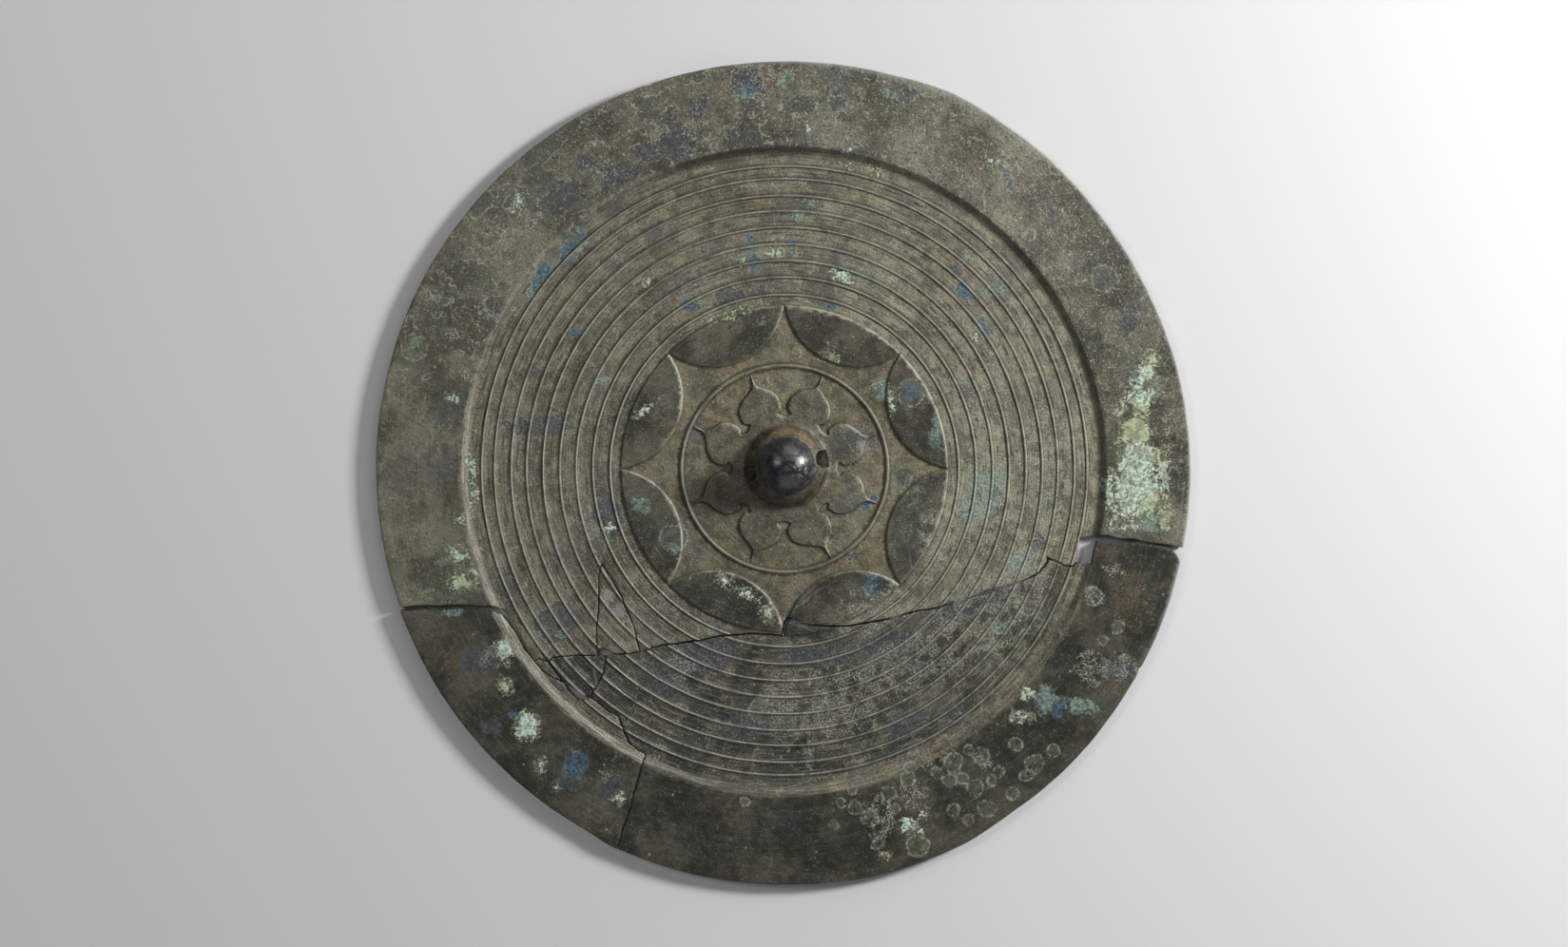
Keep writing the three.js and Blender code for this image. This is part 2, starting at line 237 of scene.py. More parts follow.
def casting_loops():
    """Every line of the design that the mesh has to follow, as closed loops."""
    loops = [edge_loop(share * EDGE_ROUNDING) for share in (1.0, 0.5, 0.15)]
    top, foot = STEP_TOP_RADIUS, STEP_FOOT_RADIUS
    for radius in (top + 0.4, top - 0.3, STEP_MIDDLE, foot + 0.3, foot - 0.4):
        loops.append(circle(radius, LOOP_STEP))
    for radius in RIDGE_RADII:
        for share in (-1.5, -1.0, -0.75, 0.0, 0.75, 1.0, 1.5):
            loops.append(circle(radius + share * RIDGE_HALF_WIDTH, LOOP_STEP))
    for share in (-1.0, -0.6, -0.2, 0.2, 0.6, 1.0):
        loops.append(circle(CIRCLE_RADIUS + share * CIRCLE_HALF_WIDTH, FINE_STEP))
    for middle in ARC_MIDDLES:
        loops += [arc_loop(middle, share * ARC_EDGE) for share in (0.02, 0.33, 0.66, 1.0)]
    loops += [drawn_in(LEAVES, share * LEAF_EDGE) for share in (0.0, 0.4, 0.8)]
    for radius in np.arange(1.0, KNOB_BASE_RADIUS + 0.6, FINE_STEP):
        loops.append(circle(radius, FINE_STEP, KNOB_CENTRE))
    return loops


CASTING_LOOPS = casting_loops()

# The breaks, as the fragments lie now. The disc cracked through like glass. Each line is the course of a
# break, and the two sides of it stand a little apart, wider where a fragment has slipped.

BREAK_GAP = 0.85
BREAK_STEP = 0.9
TIGHT_PLACE = (-105.0, -95.0)
TIGHT_SHARE = 0.62
BREAK_WEAR = 0.28
BREAK_WEAR_WIDTH = 0.6
WANDER = [(7.0, 0.32), (1.9, 0.16)]
CLOSEST_POINTS = 0.4
OUTSIDE = 242.0
# How high each level of a broken wall lies, as a share of the thickness, and how rough it is
WALL_LEVELS = [(0.78, 0.16), (0.52, 0.26), (0.28, 0.18), (0.0, 0.0)]

LEFT_BREAK_UPPER_SIDE = [
    (-250, -80.3), (-192, -77.6), (-165, -78.3), (-160, -81), (-154, -89.6), (-144, -107.3),
]
SPLINTER_HEAD = [(-142.3, -109.4), (-140, -108), (-134.4, -110)]
RING_PIECE_TOP = [(-132.3, -107.4), (-115.7, -106.2), (-107.2, -106.1), (-101.4, -106.1)]
TRIANGLE_LEFT = [(-103.9, -54.5), (-105.5, -59.5), (-105.9, -80.1), (-107.2, -96.7), (-107.2, -102.6)]
TRIANGLE_RIGHT = [(-81.9, -103.9), (-85.3, -92.6), (-88.6, -83.1), (-92.7, -73.5), (-98.5, -62.8)]
LONG_BREAK = [
    (-81.9, -103.9), (-75.2, -101.7), (-56.8, -98.9), (-35.1, -95.2), (-18.9, -93.8), (-1.8, -94.6),
    (-0.7, -89.3), (1.9, -84.7), (11.4, -88.1), (25.5, -89.9), (37.2, -89.3), (53.9, -86.6),
    (68.3, -82.8), (87.3, -79), (99.8, -75.5), (115.3, -70.2), (135.8, -64), (143.8, -59.7),
    (149.4, -53.8), (149.4, -50.7), (153.8, -52.6), (159.3, -54.7), (164.3, -55), (166.8, -52.6),
]
RIGHT_BREAK_UPPER_SIDE = [
    (168, -39.5), (183, -38.4), (192.9, -39.6), (209.5, -42.6), (221.9, -44.9), (250, -45),
]


def ripple(points, size, seed):
    """A smooth uneven value from about -1 to 1 for each place, the same for every piece."""
    rng = np.random.default_rng(seed)
    total = np.zeros(len(points))
    for _ in range(9):
        turn = rng.uniform(0.0, 2.0 * math.pi)
        stretch = rng.uniform(0.6, 1.7)
        phase = rng.uniform(0.0, 2.0 * math.pi)
        across = points @ np.array([math.cos(turn), math.sin(turn)])
        total += np.sin(across * 2.0 * math.pi / (size * 2.2 * stretch) + phase)
    return total / 3.4


def sway(points, size, reach, seed):
    """How far a ripple moves each point, alike for points in the same place."""
    return np.stack([ripple(points, size, seed), ripple(points, size, seed + 10)], axis=1) * reach


def broken_outline(outline):
    """A fragment's outline in short steps, each break wandering alike for both of its sides."""
    corners = np.array(outline, float)
    x, y = corners.T
    if np.sum(x * np.roll(y, -1) - np.roll(x, -1) * y) < 0.0:
        corners = corners[::-1]
    points = []
    for a, b in zip(corners, np.roll(corners, -1, axis=0)):
        inside = min(np.hypot(*a), np.hypot(*b)) < OUTSIDE
        count = max(1, int(math.ceil(np.hypot(*(b - a)) / BREAK_STEP))) if inside else 1
        points += [a + (b - a) * i / count for i in range(count)]
    points = np.array(points)
    for number, (size, reach) in enumerate(WANDER):
        points = points + sway(points, size, reach, 10 + number)
    from_tight = np.hypot(*(points - TIGHT_PLACE).T)
    wide = TIGHT_SHARE + (1.0 - TIGHT_SHARE) * smooth(from_tight, 30.0, 60.0)
    points = drawn_in(points, (0.5 + 0.12 * ripple(points, 9.0, 30)) * BREAK_GAP * wide)
    kept = [points[0]]
    for point in points[1:]:
        if min(np.hypot(*(point - kept[-1])), np.hypot(*(point - kept[0]))) > CLOSEST_POINTS:
            kept.append(point)
    return np.array(kept)


# The patina. Corrosion lies on the bronze in crusts, stains and crumbs. Every patch seen on the mirror is
# listed in the photograph's own steps of 0.54 mm: its middle, its half length, its half width
# where that differs, and its turn in degrees.

PLAN_STEP = 0.5407
PLAN_MIDDLE = (825.0, 493.0)
PATCH_FADE = 3.0
PATCH_SWAY = [(9.0, 1.3), (3.6, 0.7)]

PATCHES = {
    # thick pale green crust, on the right rim first
    "mint": [
        (1213, 376, 8, 9), (1206, 394, 9, 14), (1198, 420, 12, 20, 10), (1176, 430, 4, 6),
        (1195, 453, 17, 18), (1196, 486, 20, 24), (1197, 520, 27, 24), (1173, 542, 6, 14),
        (1226, 545, 8, 12), (1186, 552, 12, 6, 20), (1222, 500, 8, 26), (1166, 520, 7, 18),
        (555, 763, 13, 14), (530, 682, 9, 10, 40), (532, 723, 7), (545, 214, 6, 9), (475, 419, 6, 4),
        (495, 487, 4, 11), (498, 518, 3, 13), (482, 583, 9), (484, 613, 12, 10), (498, 604, 5, 9),
        (567, 804, 4, 7), (638, 556, 6, 5), (1080, 728, 7, 6), (1078, 754, 11, 5, 10), (955, 870, 8, 8, 30),
        (970, 855, 5), (933, 898, 4), (967, 870, 5, 4), (917, 179, 10, 4, 160), (890, 172, 6, 3, 150),
        (893, 155, 4, 3), (885, 290, 11, 7, 160), (873, 377, 9, 4, 145), (937, 420, 3, 9), (680, 298, 4),
        (817, 251, 8, 3), (818, 267, 7, 5), (773, 274, 6, 4), (678, 433, 9, 3, 35), (484, 549, 5),
        (1042, 168, 6, 2, 150), (652, 840, 5, 4), (768, 330, 24, 3, 14), (588, 830, 3, 4),
        (1028, 354, 4, 5), (847, 131, 3), (542, 327, 3), (758, 610, 9, 6, 150), (806, 645, 7, 8),
        (782, 623, 10, 3, 150),
    ],
    # thin green stain, soft at its edge
    "green": [
        (702, 207, 8, 9), (665, 237, 11, 8), (622, 377, 11, 17), (582, 387, 12, 9), (682, 368, 8, 7),
        (770, 403, 18, 10, 20), (762, 423, 8, 6), (725, 320, 17, 13), (922, 288, 20, 11, 165),
        (940, 303, 9, 7), (532, 310, 6, 5), (1012, 340, 5, 7), (1095, 337, 4, 5), (1012, 497, 9, 6),
        (585, 503, 12, 9), (552, 500, 8, 7), (643, 567, 5, 8), (688, 605, 9, 5, 150), (450, 623, 9, 7),
        (436, 365, 13), (1000, 570, 6, 11), (975, 597, 14, 8, 40), (958, 520, 13, 14), (1045, 683, 11, 9),
        (1072, 683, 9, 10), (965, 890, 9), (865, 743, 6, 9), (925, 767, 6, 9), (942, 617, 8, 6),
        (900, 103, 8, 10), (855, 95, 10, 12), (1205, 400, 18, 26), (1195, 500, 30, 40), (480, 600, 16, 24),
        (520, 500, 4, 9), (1083, 247, 5), (1098, 275, 4), (625, 122, 10, 3, 40), (643, 420, 5, 4),
        (1060, 500, 8, 36), (985, 570, 12, 26), (1110, 540, 10, 30), (1080, 650, 14, 22, 40),
        (1000, 560, 10, 18),
    ],
    # bright turquoise
    "turquoise": [
        (1208, 549, 13, 7, 150), (1060, 181, 4, 12, 10), (1036, 506, 20, 15), (1018, 538, 11, 12),
        (1040, 530, 18, 8, 80), (985, 455, 5, 12), (1072, 590, 8, 12, 50), (1100, 735, 11),
        (1132, 742, 18, 8, 170), (838, 188, 9, 3), (837, 226, 13, 3), (825, 85, 7, 9), (937, 98, 8, 4),
        (635, 400, 8, 5, 20), (672, 530, 11, 9, 150), (708, 577, 8, 5), (1012, 403, 4, 7), (855, 212, 6, 4),
        (857, 253, 4, 3), (832, 265, 6, 4), (1047, 302, 14, 6), (1017, 268, 5, 6), (786, 97, 14, 5, 10),
        (475, 643, 8, 2, 10), (602, 257, 19, 10, 52), (566, 292, 19, 9, 55), (588, 667, 6, 5, 30),
        (458, 315, 4, 3), (436, 362, 6), (892, 761, 3), (1052, 660, 10, 8), (928, 410, 9),
    ],
    # dark or vivid blue, with sharp edges
    "blue": [
        (602, 257, 17, 7, 52), (567, 291, 17, 7, 55), (596, 272, 9, 4, 40), (788, 252, 5, 6),
        (792, 274, 7, 10), (742, 263, 7, 4), (726, 323, 9), (1035, 341, 5, 9, 10), (873, 323, 5),
        (605, 804, 12, 13), (540, 752, 6), (1113, 745, 8), (1060, 188, 3, 5), (602, 347, 9, 4, 20),
        (958, 412, 11, 10), (918, 613, 10, 9), (913, 528, 9, 5, 20), (1015, 303, 7, 12, 10),
        (786, 92, 8, 7), (1202, 392, 4, 6), (832, 254, 4, 5),
    ],
    # smooth blue-grey skin
    "slate": [
        (655, 183, 21, 15, 20), (684, 163, 14, 11), (712, 150, 19, 22, 60), (732, 113, 10, 17, 160),
        (615, 170, 13, 9), (592, 207, 24, 17, 30), (785, 86, 18, 13), (880, 103, 10, 12), (954, 100, 11, 9),
        (1162, 293, 13), (767, 313, 18, 9, 10), (707, 563, 14, 15), (568, 447, 42, 10, 5),
        (1188, 337, 10, 18, 160), (505, 693, 22, 17, 30), (518, 763, 12, 9), (598, 822, 15, 10),
        (640, 827, 16, 9, 30), (958, 760, 26, 12, 10), (1005, 750, 13, 11), (742, 690, 40, 18, 8),
        (1088, 570, 9, 12), (860, 690, 34, 12), (1178, 703, 17), (1005, 285, 8, 13), (1197, 398, 12, 20),
        (640, 540, 16, 26, 20), (585, 655, 24, 20, 40), (950, 502, 9), (900, 587, 7, 5),
        (1020, 640, 40, 16, 20), (930, 680, 40, 14, 12), (700, 720, 34, 14, 150), (900, 460, 12),
        (1130, 110, 20, 8, 150), (785, 760, 24, 16),
    ],
    # whitish crumbs
    "pale": [
        (518, 250, 14, 11), (512, 335, 13, 8, 10), (478, 353, 6), (485, 395, 8, 7), (470, 307, 5, 4),
        (1000, 123, 5, 4), (885, 70, 6, 4), (800, 337, 4), (840, 370, 5), (805, 402, 9, 4, 160),
        (612, 542, 11, 7), (638, 817, 6, 5), (588, 832, 6, 5), (648, 798, 4, 3), (655, 273, 7, 6),
        (957, 557, 4), (885, 497, 8, 6), (1148, 703, 16), (1180, 700, 14, 18), (1150, 627, 10),
        (728, 140, 10, 22), (690, 140, 12, 10), (800, 80, 26, 12), (985, 800, 16, 9, 20),
        (925, 860, 16, 26), (1040, 640, 70, 42, 40), (960, 700, 60, 30, 20), (1035, 520, 30, 60),
        (1100, 500, 24, 80), (1075, 580, 30, 40, 30), (985, 560, 18, 34), (860, 740, 60, 40),
        (920, 640, 40, 24, 20), (1040, 420, 20, 50), (960, 835, 14, 10), (640, 175, 10, 12, 40),
        (1028, 390, 4, 5), (1165, 360, 5, 4), (1060, 176, 4, 8), (525, 690, 17, 13, 30), (532, 722, 10, 9),
        (1045, 603, 12, 16, 30), (1075, 755, 15, 9), (1120, 470, 8, 40), (1010, 520, 8, 30),
        (945, 370, 12, 6, 140), (715, 700, 14, 16), (1170, 600, 10, 6), (705, 640, 10, 8),
        (595, 690, 14, 8), (1180, 470, 8, 30, 170), (1228, 470, 4, 40), (1035, 800, 8),
    ],
    # a smooth pale grey film
    "film": [
        (641, 626, 6, 8), (649, 641, 6, 6, 30), (653, 654, 3, 4), (905, 468, 7, 6),
    ],
    # reddish brown
    "rust": [
        (1043, 200, 9), (1025, 177, 9, 7), (722, 130, 7, 13), (690, 148, 12, 7, 20), (805, 212, 22, 5),
        (1070, 305, 9, 7), (935, 368, 14, 9), (1225, 470, 12, 50), (1180, 545, 18, 8),
        (860, 205, 30, 8, 170), (1190, 632, 22, 34), (1172, 577, 14, 6), (815, 80, 34, 14),
        (985, 790, 50, 4, 25), (1100, 440, 14, 30), (1160, 590, 6, 12, 30), (545, 285, 3, 30, 140),
        (505, 390, 3, 40, 170), (1058, 710, 14, 4, 45), (905, 220, 16, 10, 160), (880, 590, 10, 7),
        (1185, 410, 8, 18), (820, 640, 12, 8), (476, 706, 8, 18, 20), (1172, 723, 10, 8), (790, 498, 8, 14),
    ],
}

# Hairline cracks and scratches, from point to point in the same steps
HAIRLINES = [
    [(495, 428), (520, 430), (548, 427), (566, 424), (576, 414)], [(570, 424), (584, 432), (596, 436)],
    [(596, 434), (610, 446), (622, 460)], [(863, 223), (872, 245), (882, 262), (887, 280)],
    [(657, 494), (684, 510), (712, 528), (722, 540)], [(722, 566), (748, 584), (775, 602), (796, 620)],
    [(640, 466), (648, 486), (640, 478)], [(730, 640), (734, 656), (739, 672)],
    [(690, 690), (672, 724), (664, 750)], [(740, 700), (748, 730), (752, 760), (742, 788)],
    [(700, 700), (684, 712)], [(868, 568), (888, 580), (905, 586)], [(965, 668), (975, 690), (986, 712)],
    [(836, 640), (860, 622), (884, 604), (918, 600)], [(760, 560), (790, 592)], [(985, 640), (1010, 660)],
    [(940, 655), (962, 645), (990, 636)], [(640, 580), (630, 560), (610, 540)],
    [(850, 700), (846, 740), (850, 790), (858, 812)], [(920, 700), (910, 750), (915, 800)],
    [(1000, 700), (1014, 740)], [(1010, 640), (985, 660), (970, 690)], [(690, 180), (742, 195), (760, 230)],
    [(735, 200), (748, 232)], [(1090, 600), (1096, 640)], [(676, 560), (700, 590), (716, 600)],
]

# Ring-shaped spots where corrosion bubbled up: middle and radius in the same steps
RING_SPOTS = [
    (1032, 795, 9), (1003, 802, 9), (1025, 828, 8), (1038, 850, 9), (1068, 782, 7), (1088, 803, 10),
    (1065, 835, 6), (1080, 815, 7), (1003, 852, 6), (900, 849, 7), (877, 867, 5), (885, 845, 4),
    (955, 820, 7), (935, 833, 8), (915, 860, 9), (922, 887, 6), (965, 890, 11), (1012, 818, 6),
    (985, 812, 6), (1042, 822, 5), (1162, 293, 14), (800, 748, 13), (783, 842, 5), (480, 583, 11),
    (436, 365, 14), (545, 214, 7), (1083, 247, 5), (1150, 627, 9), (1108, 790, 7), (1018, 862, 6),
    (940, 850, 6), (998, 820, 7), (958, 808, 6), (1050, 812, 6), (897, 832, 4), (708, 566, 14),
    (958, 413, 14), (925, 872, 8), (1020, 790, 6), (1175, 660, 6), (1160, 672, 5),
]


SMALL_PATCH = 30
SMALL_KINDS = ("mint", "turquoise", "blue", "pale", "film")
SMALL_PATCHES = [patch for kind in SMALL_KINDS for patch in PATCHES[kind] if max(patch[2:4]) < SMALL_PATCH]


def on_plan(places):
    """Places in the photograph's steps as millimetres from the mirror's middle."""
    return (np.array(places, float) - PLAN_MIDDLE) * (PLAN_STEP, -PLAN_STEP)


def patch_depth(points, patches):
    """How deep inside the nearest of some patches each point lies, in millimetres."""
    depth = np.full(len(points), -50.0)
    for x, y, half_length, *rest in patches:
        half_width, turn = rest + [half_length, 0][len(rest):]
        away = points - on_plan([(x, y)])[0]
        near = np.flatnonzero(np.abs(away).max(axis=1) < max(half_length, half_width) * PLAN_STEP + 12.0)
        t = math.radians(turn)
        along = away[near] @ np.array([math.cos(t), math.sin(t)]) / (half_length * PLAN_STEP)
        across = away[near] @ np.array([-math.sin(t), math.cos(t)]) / (half_width * PLAN_STEP)
        inside = (1.0 - np.hypot(along, across)) * min(half_length, half_width) * PLAN_STEP
        depth[near] = np.maximum(depth[near], inside)
    return depth


def hairline_points(offset):
    """Points along every hairline, wandering a little, or beside it by an offset."""
    points = []
    for line in HAIRLINES:
        corners = on_plan(line)
        for a, b in zip(corners, corners[1:]):
            count = int(np.hypot(*(b - a)) / 1.1) + 1
            side = np.array([a[1] - b[1], b[0] - a[0]]) / np.hypot(*(b - a)) * offset
            points += [a + (b - a) * i / count + side for i in range(count)]
    points = np.array(points)
    return points + np.stack([ripple(points, 4.0, 91), ripple(points, 4.0, 92)], axis=1) * 0.45


def tree_of(points):
    """A tree that finds the nearest of some flat points."""
    tree = KDTree(len(points))
    for i, point in enumerate(points):
        tree.insert((*point, 0.0), i)
    tree.balance()
    return tree


def nearest(points, targets, reach):
    """Distance from each point to the nearest target, up to a reach."""
    tree = tree_of(targets)
    low, high = targets.min(0) - reach, targets.max(0) + reach
    found = np.full(len(points), float(reach))
    for i in np.flatnonzero(np.all((points > low) & (points < high), axis=1)):
        found[i] = min(reach, tree.find((*points[i], 0.0))[2])
    return found


HAIR_SIDE = 0.42
HAIR_MIDDLE = hairline_points(0.0)
HAIR_ALL = np.concatenate([HAIR_MIDDLE, hairline_points(HAIR_SIDE), hairline_points(-HAIR_SIDE)])

# The net of triangles: how far apart its loose points stand, in open places, by small patches and below
OPEN_SPACING = 2.2
FINE_SPACING = 1.15
UNDER_SPACING = 6.0
PATCH_MARGIN = 1.6
STEP_CLEARANCE = 3.2
EDGE_CLEARANCE = 2.6
HAIR_CLEARANCE = 0.9
UNDER_CLEARANCE = 2.5


def fill_points(low, high, spacing, seed):
    """A slightly shaken triangular net of points over a box."""
    rng = np.random.default_rng(seed)
    rows = np.arange(low[1], high[1], spacing * 0.866)
    points = []
    for i, y in enumerate(rows):
        x = np.arange(low[0] + (i % 2) * spacing / 2.0, high[0], spacing)
        points.append(np.stack([x, np.full(len(x), y)], axis=1))
    points = np.concatenate(points)
    return points + rng.uniform(-0.22, 0.22, points.shape) * spacing


def loose_points(low, high, slip, seed):
    """The net's loose points over a box: finer by small patches, clear of the design's own lines."""
    wide = fill_points(low, high, OPEN_SPACING, seed)
    fine = fill_points(low, high, FINE_SPACING, seed + 20)
    wide_reach = patch_depth(wide, SMALL_PATCHES + RING_SPOTS) + PATCH_MARGIN
    fine_reach = patch_depth(fine, SMALL_PATCHES + RING_SPOTS) + PATCH_MARGIN
    loose = np.concatenate([wide[wide_reach < -0.7], fine[fine_reach > 0.0]])
    cast = loose - slip
    radius = np.hypot(*cast.T)
    away = np.min([np.abs(radius - r) for r in RIDGE_RADII], axis=0) > 1.5 * RIDGE_HALF_WIDTH + 0.5
    away &= np.abs(radius - CIRCLE_RADIUS) > CIRCLE_HALF_WIDTH + 0.4
    away &= np.abs(radius - STEP_MIDDLE) > STEP_CLEARANCE
    away &= radius < MIRROR_RADIUS - EDGE_CLEARANCE
    arcs = arc_depth(cast)
    away &= (arcs < -0.4) | (arcs > ARC_EDGE + 0.4)
    away &= np.hypot(*(cast - KNOB_CENTRE).T) > KNOB_BASE_RADIUS + 0.9
    near = np.flatnonzero(radius < CIRCLE_RADIUS)
    leaves = outline_depth(cast[near], LEAVES)
    away[near] &= (leaves < -0.4) | (leaves > LEAF_EDGE + 0.2)
    loose = loose[away]
    return loose[nearest(loose, HAIR_MIDDLE, 2.0) > HAIR_CLEARANCE]


def net(loose, loops, faces):
    """One triangle net through loose points and closed loops, cut to where all the faces overlap."""
    points = [loose]
    edges = []
    base = len(loose)
    for loop in loops:
        order = np.arange(len(loop)) + base
        edges.append(np.stack([order, np.roll(order, -1)], axis=1))
        points.append(loop)
        base += len(loop)
    rings = []
    for face in faces:
        rings.append(list(range(base, base + len(face))))
        points.append(face)
        base += len(face)
    all_points = np.concatenate(points)
    all_edges = np.concatenate(edges).tolist() if edges else []
    found = delaunay_2d_cdt([Vector(p) for p in all_points], all_edges, rings, 1, 1e-5)
    vertices = np.array([v[:] for v in found[0]])
    _, _, triangles, sources, _, owners = found
    kept = np.array([t for t, owner in zip(triangles, owners) if len(owner) >= len(faces)])
    used = np.unique(kept)
    place = np.full(len(vertices), -1)
    place[used] = np.arange(len(used))
    return vertices[used], place[kept], [sources[i] for i in used]


def open_edges(triangles, count):
    """The directed edges that belong to one triangle only."""
    directed = np.concatenate([triangles[:, [0, 1]], triangles[:, [1, 2]], triangles[:, [2, 0]]])
    there = directed[:, 0].astype(np.int64) * count + directed[:, 1]
    back = directed[:, 1].astype(np.int64) * count + directed[:, 0]
    return directed[~np.isin(there, back)]


def largest_part(triangles):
    """The triangles of the largest part that hangs together by whole edges."""
    by_edge = {}
    for number, (a, b, c) in enumerate(triangles.tolist()):
        for edge in ((a, b), (b, c), (c, a)):
            by_edge.setdefault(tuple(sorted(edge)), []).append(number)
    part = [-1] * len(triangles)
    for first in range(len(triangles)):
        waiting = [first] if part[first] < 0 else []
        while waiting:
            number = waiting.pop()
            if part[number] < 0:
                part[number] = first
                a, b, c = triangles[number].tolist()
                for edge in ((a, b), (b, c), (c, a)):
                    waiting += by_edge[tuple(sorted(edge))]
    part = np.array(part)
    return triangles[part == np.bincount(part).argmax()]


def walk(edges):
    """Open edges as one or more closed rings of vertex numbers."""
    after = {int(a): int(b) for a, b in edges}
    rings = []
    while after:
        first = next(iter(after))
        ring = [first]
        here = after.pop(first)
        while here != first:
            ring.append(here)
            here = after.pop(here)
        rings.append(ring)
    return rings


def slab(outline, slip, seed):
    """A flat, closed slab cut to a fragment's outline, with the attributes that the relief reads."""
    slip = np.array(slip)
    broken = broken_outline(outline)
    edge = edge_loop(0.0) + slip
    inside = np.concatenate([broken[np.hypot(*broken.T) < OUTSIDE], edge[outline_depth(edge, broken) > 0.0]])
    low, high = inside.min(0) - 6.0, inside.max(0) + 6.0

    def boxed(some):
        return np.all((some > low) & (some < high), axis=-1)

    pieces = [np.concatenate([loose_points(low, high, slip, seed), HAIR_ALL[boxed(HAIR_ALL)]])]
    loops = []
    for loop in CASTING_LOOPS:
        line = loop + slip
        if boxed(line).all():
            loops.append(line)
        elif boxed(line).any():
            pieces.append(line[boxed(line)])
    worn = drawn_in(broken, BREAK_WEAR_WIDTH)
    pieces.append(worn[np.hypot(*worn.T) < OUTSIDE])
    top, triangles, _ = net(np.concatenate(pieces), loops, [broken, edge])
    sides = open_edges(triangles, len(top))
    if len(np.unique(sides[:, 0])) < len(sides):
        triangles = largest_part(triangles)
        sides = open_edges(triangles, len(top))
    rings = walk(sides)
    starts = np.cumsum([0] + [len(ring) for ring in rings])[:-1]

    # Outward directions along the rings, and whether each ring point is on a break or on the cast edge
    ring_points = np.concatenate([np.array(r) for r in rings])
    step = top[sides[:, 1]] - top[sides[:, 0]]
    outward = np.zeros_like(top)
    for end in (0, 1):
        np.add.at(outward, sides[:, end], np.stack([step[:, 1], -step[:, 0]], axis=1))
    outward = outward[ring_points] / np.maximum(np.hypot(*outward[ring_points].T), 1e-9)[:, None]
    own = top[ring_points] - slip
    own_radius = np.hypot(*own.T)
    own_edge = edge_radius(np.arctan2(own[:, 1], own[:, 0]))
    on_break = (own_edge - own_radius) > 0.02

    # The walls, level by level, rough where the metal broke and chamfered where it was cast
    level_points, lifts, chips = [top], [np.ones(len(top))], [np.zeros(len(top))]
    count = len(ring_points)
    faces = [triangles]
    after = np.concatenate([np.roll(np.arange(len(r)), -1) + start for r, start in zip(rings, starts)])
    upper_ring = ring_points
    for level, (lift, spread) in enumerate(WALL_LEVELS):
        shake = ripple(own, 1.6, 40 + int(lift * 100)) * spread
        points = top[ring_points] + outward * (np.minimum(shake, 0.0) * on_break)[:, None]
        if lift == 0.0:
            start = own_edge - FACE_CHAMFER_REACH
            squeezed = start + (own_radius - start) * (1.0 - FACE_CHAMFER / FACE_CHAMFER_REACH)
            radius = np.where(own_radius > start, squeezed, own_radius)
            points = own * (radius / np.maximum(own_radius, 1e-9))[:, None] + slip
        level_points.append(points)
        lifts.append(np.full(len(points), lift))
        chips.append(on_break.astype(float))
        lower_ring = np.arange(count) + len(top) + level * count
        a, b, c, d = upper_ring, upper_ring[after], lower_ring[after], lower_ring
        faces += [np.stack([a, c, b], axis=1), np.stack([a, d, c], axis=1)]
        upper_ring = lower_ring

    # The flat reflecting face below, with a wide net of its own
    base = level_points[-1]
    base_tree = tree_of(base)
    under_loose = fill_points(low, high, UNDER_SPACING, seed + 50)
    under_loose = np.array([p for p in under_loose if base_tree.find((*p, 0.0))[2] > UNDER_CLEARANCE])
    bottom_loops = [base[np.arange(len(r)) + start] for r, start in zip(rings, starts)]
    under, under_faces, sources = net(under_loose, [], bottom_loops)
    extra = len(top) + len(WALL_LEVELS) * count
    number = np.zeros(len(under), int)
    added = []
    for i, source in enumerate(sources):
        ring_place = [s - len(under_loose) for s in source if s >= len(under_loose)]
        if ring_place:
            number[i] = extra - count + ring_place[0]
        else:
            number[i] = extra + len(added)
            added.append(under[i])
    faces.append(number[under_faces][:, ::-1])
    if added:
        level_points.append(np.array(added))
        lifts.append(np.zeros(len(added)))
        chips.append(np.zeros(len(added)))
    points = np.concatenate(level_points)

    # Distances that the relief and the patina read. The far point stands in where nothing is broken
    break_tree = tree_of([*top[ring_points][on_break], (999.0, 999.0)])
    from_break = np.array([break_tree.find((*p, 0.0))[2] for p in points])
    cast = points - slip
    radius = np.hypot(*cast.T)
    values = {
        "lift": np.concatenate(lifts),
        "break_wall_shade": np.concatenate(chips),
        "from_edge": np.maximum(edge_radius(np.arctan2(cast[:, 1], cast[:, 0])) - radius, 0.0) * MM,
        "from_break": from_break * MM,
        "arc_depth": arc_depth(cast) * MM,
        "leaf_depth": np.full(len(points), -1.0),
    }
    central = np.flatnonzero(radius < CIRCLE_RADIUS)
    if len(central):
        values["leaf_depth"][central] = outline_depth(cast[central], LEAVES) * MM
    return points, np.concatenate(faces), values


def store(mesh, key, values):
    mesh.attributes.new(key, "FLOAT", "POINT").data.foreach_set("value", np.asarray(values, np.float32))


def mesh_of(name, points, faces, values):
    """A mesh from flat points in millimetres, with a float attribute for each named value."""
    mesh = bpy.data.meshes.new(name)
    flat = np.zeros((len(points), 3))
    flat[:, :2] = points * MM
    mesh.from_pydata(flat.tolist(), [], faces.tolist())
    for key, value in values.items():
        store(mesh, key, value)
    mesh.update()
    return mesh


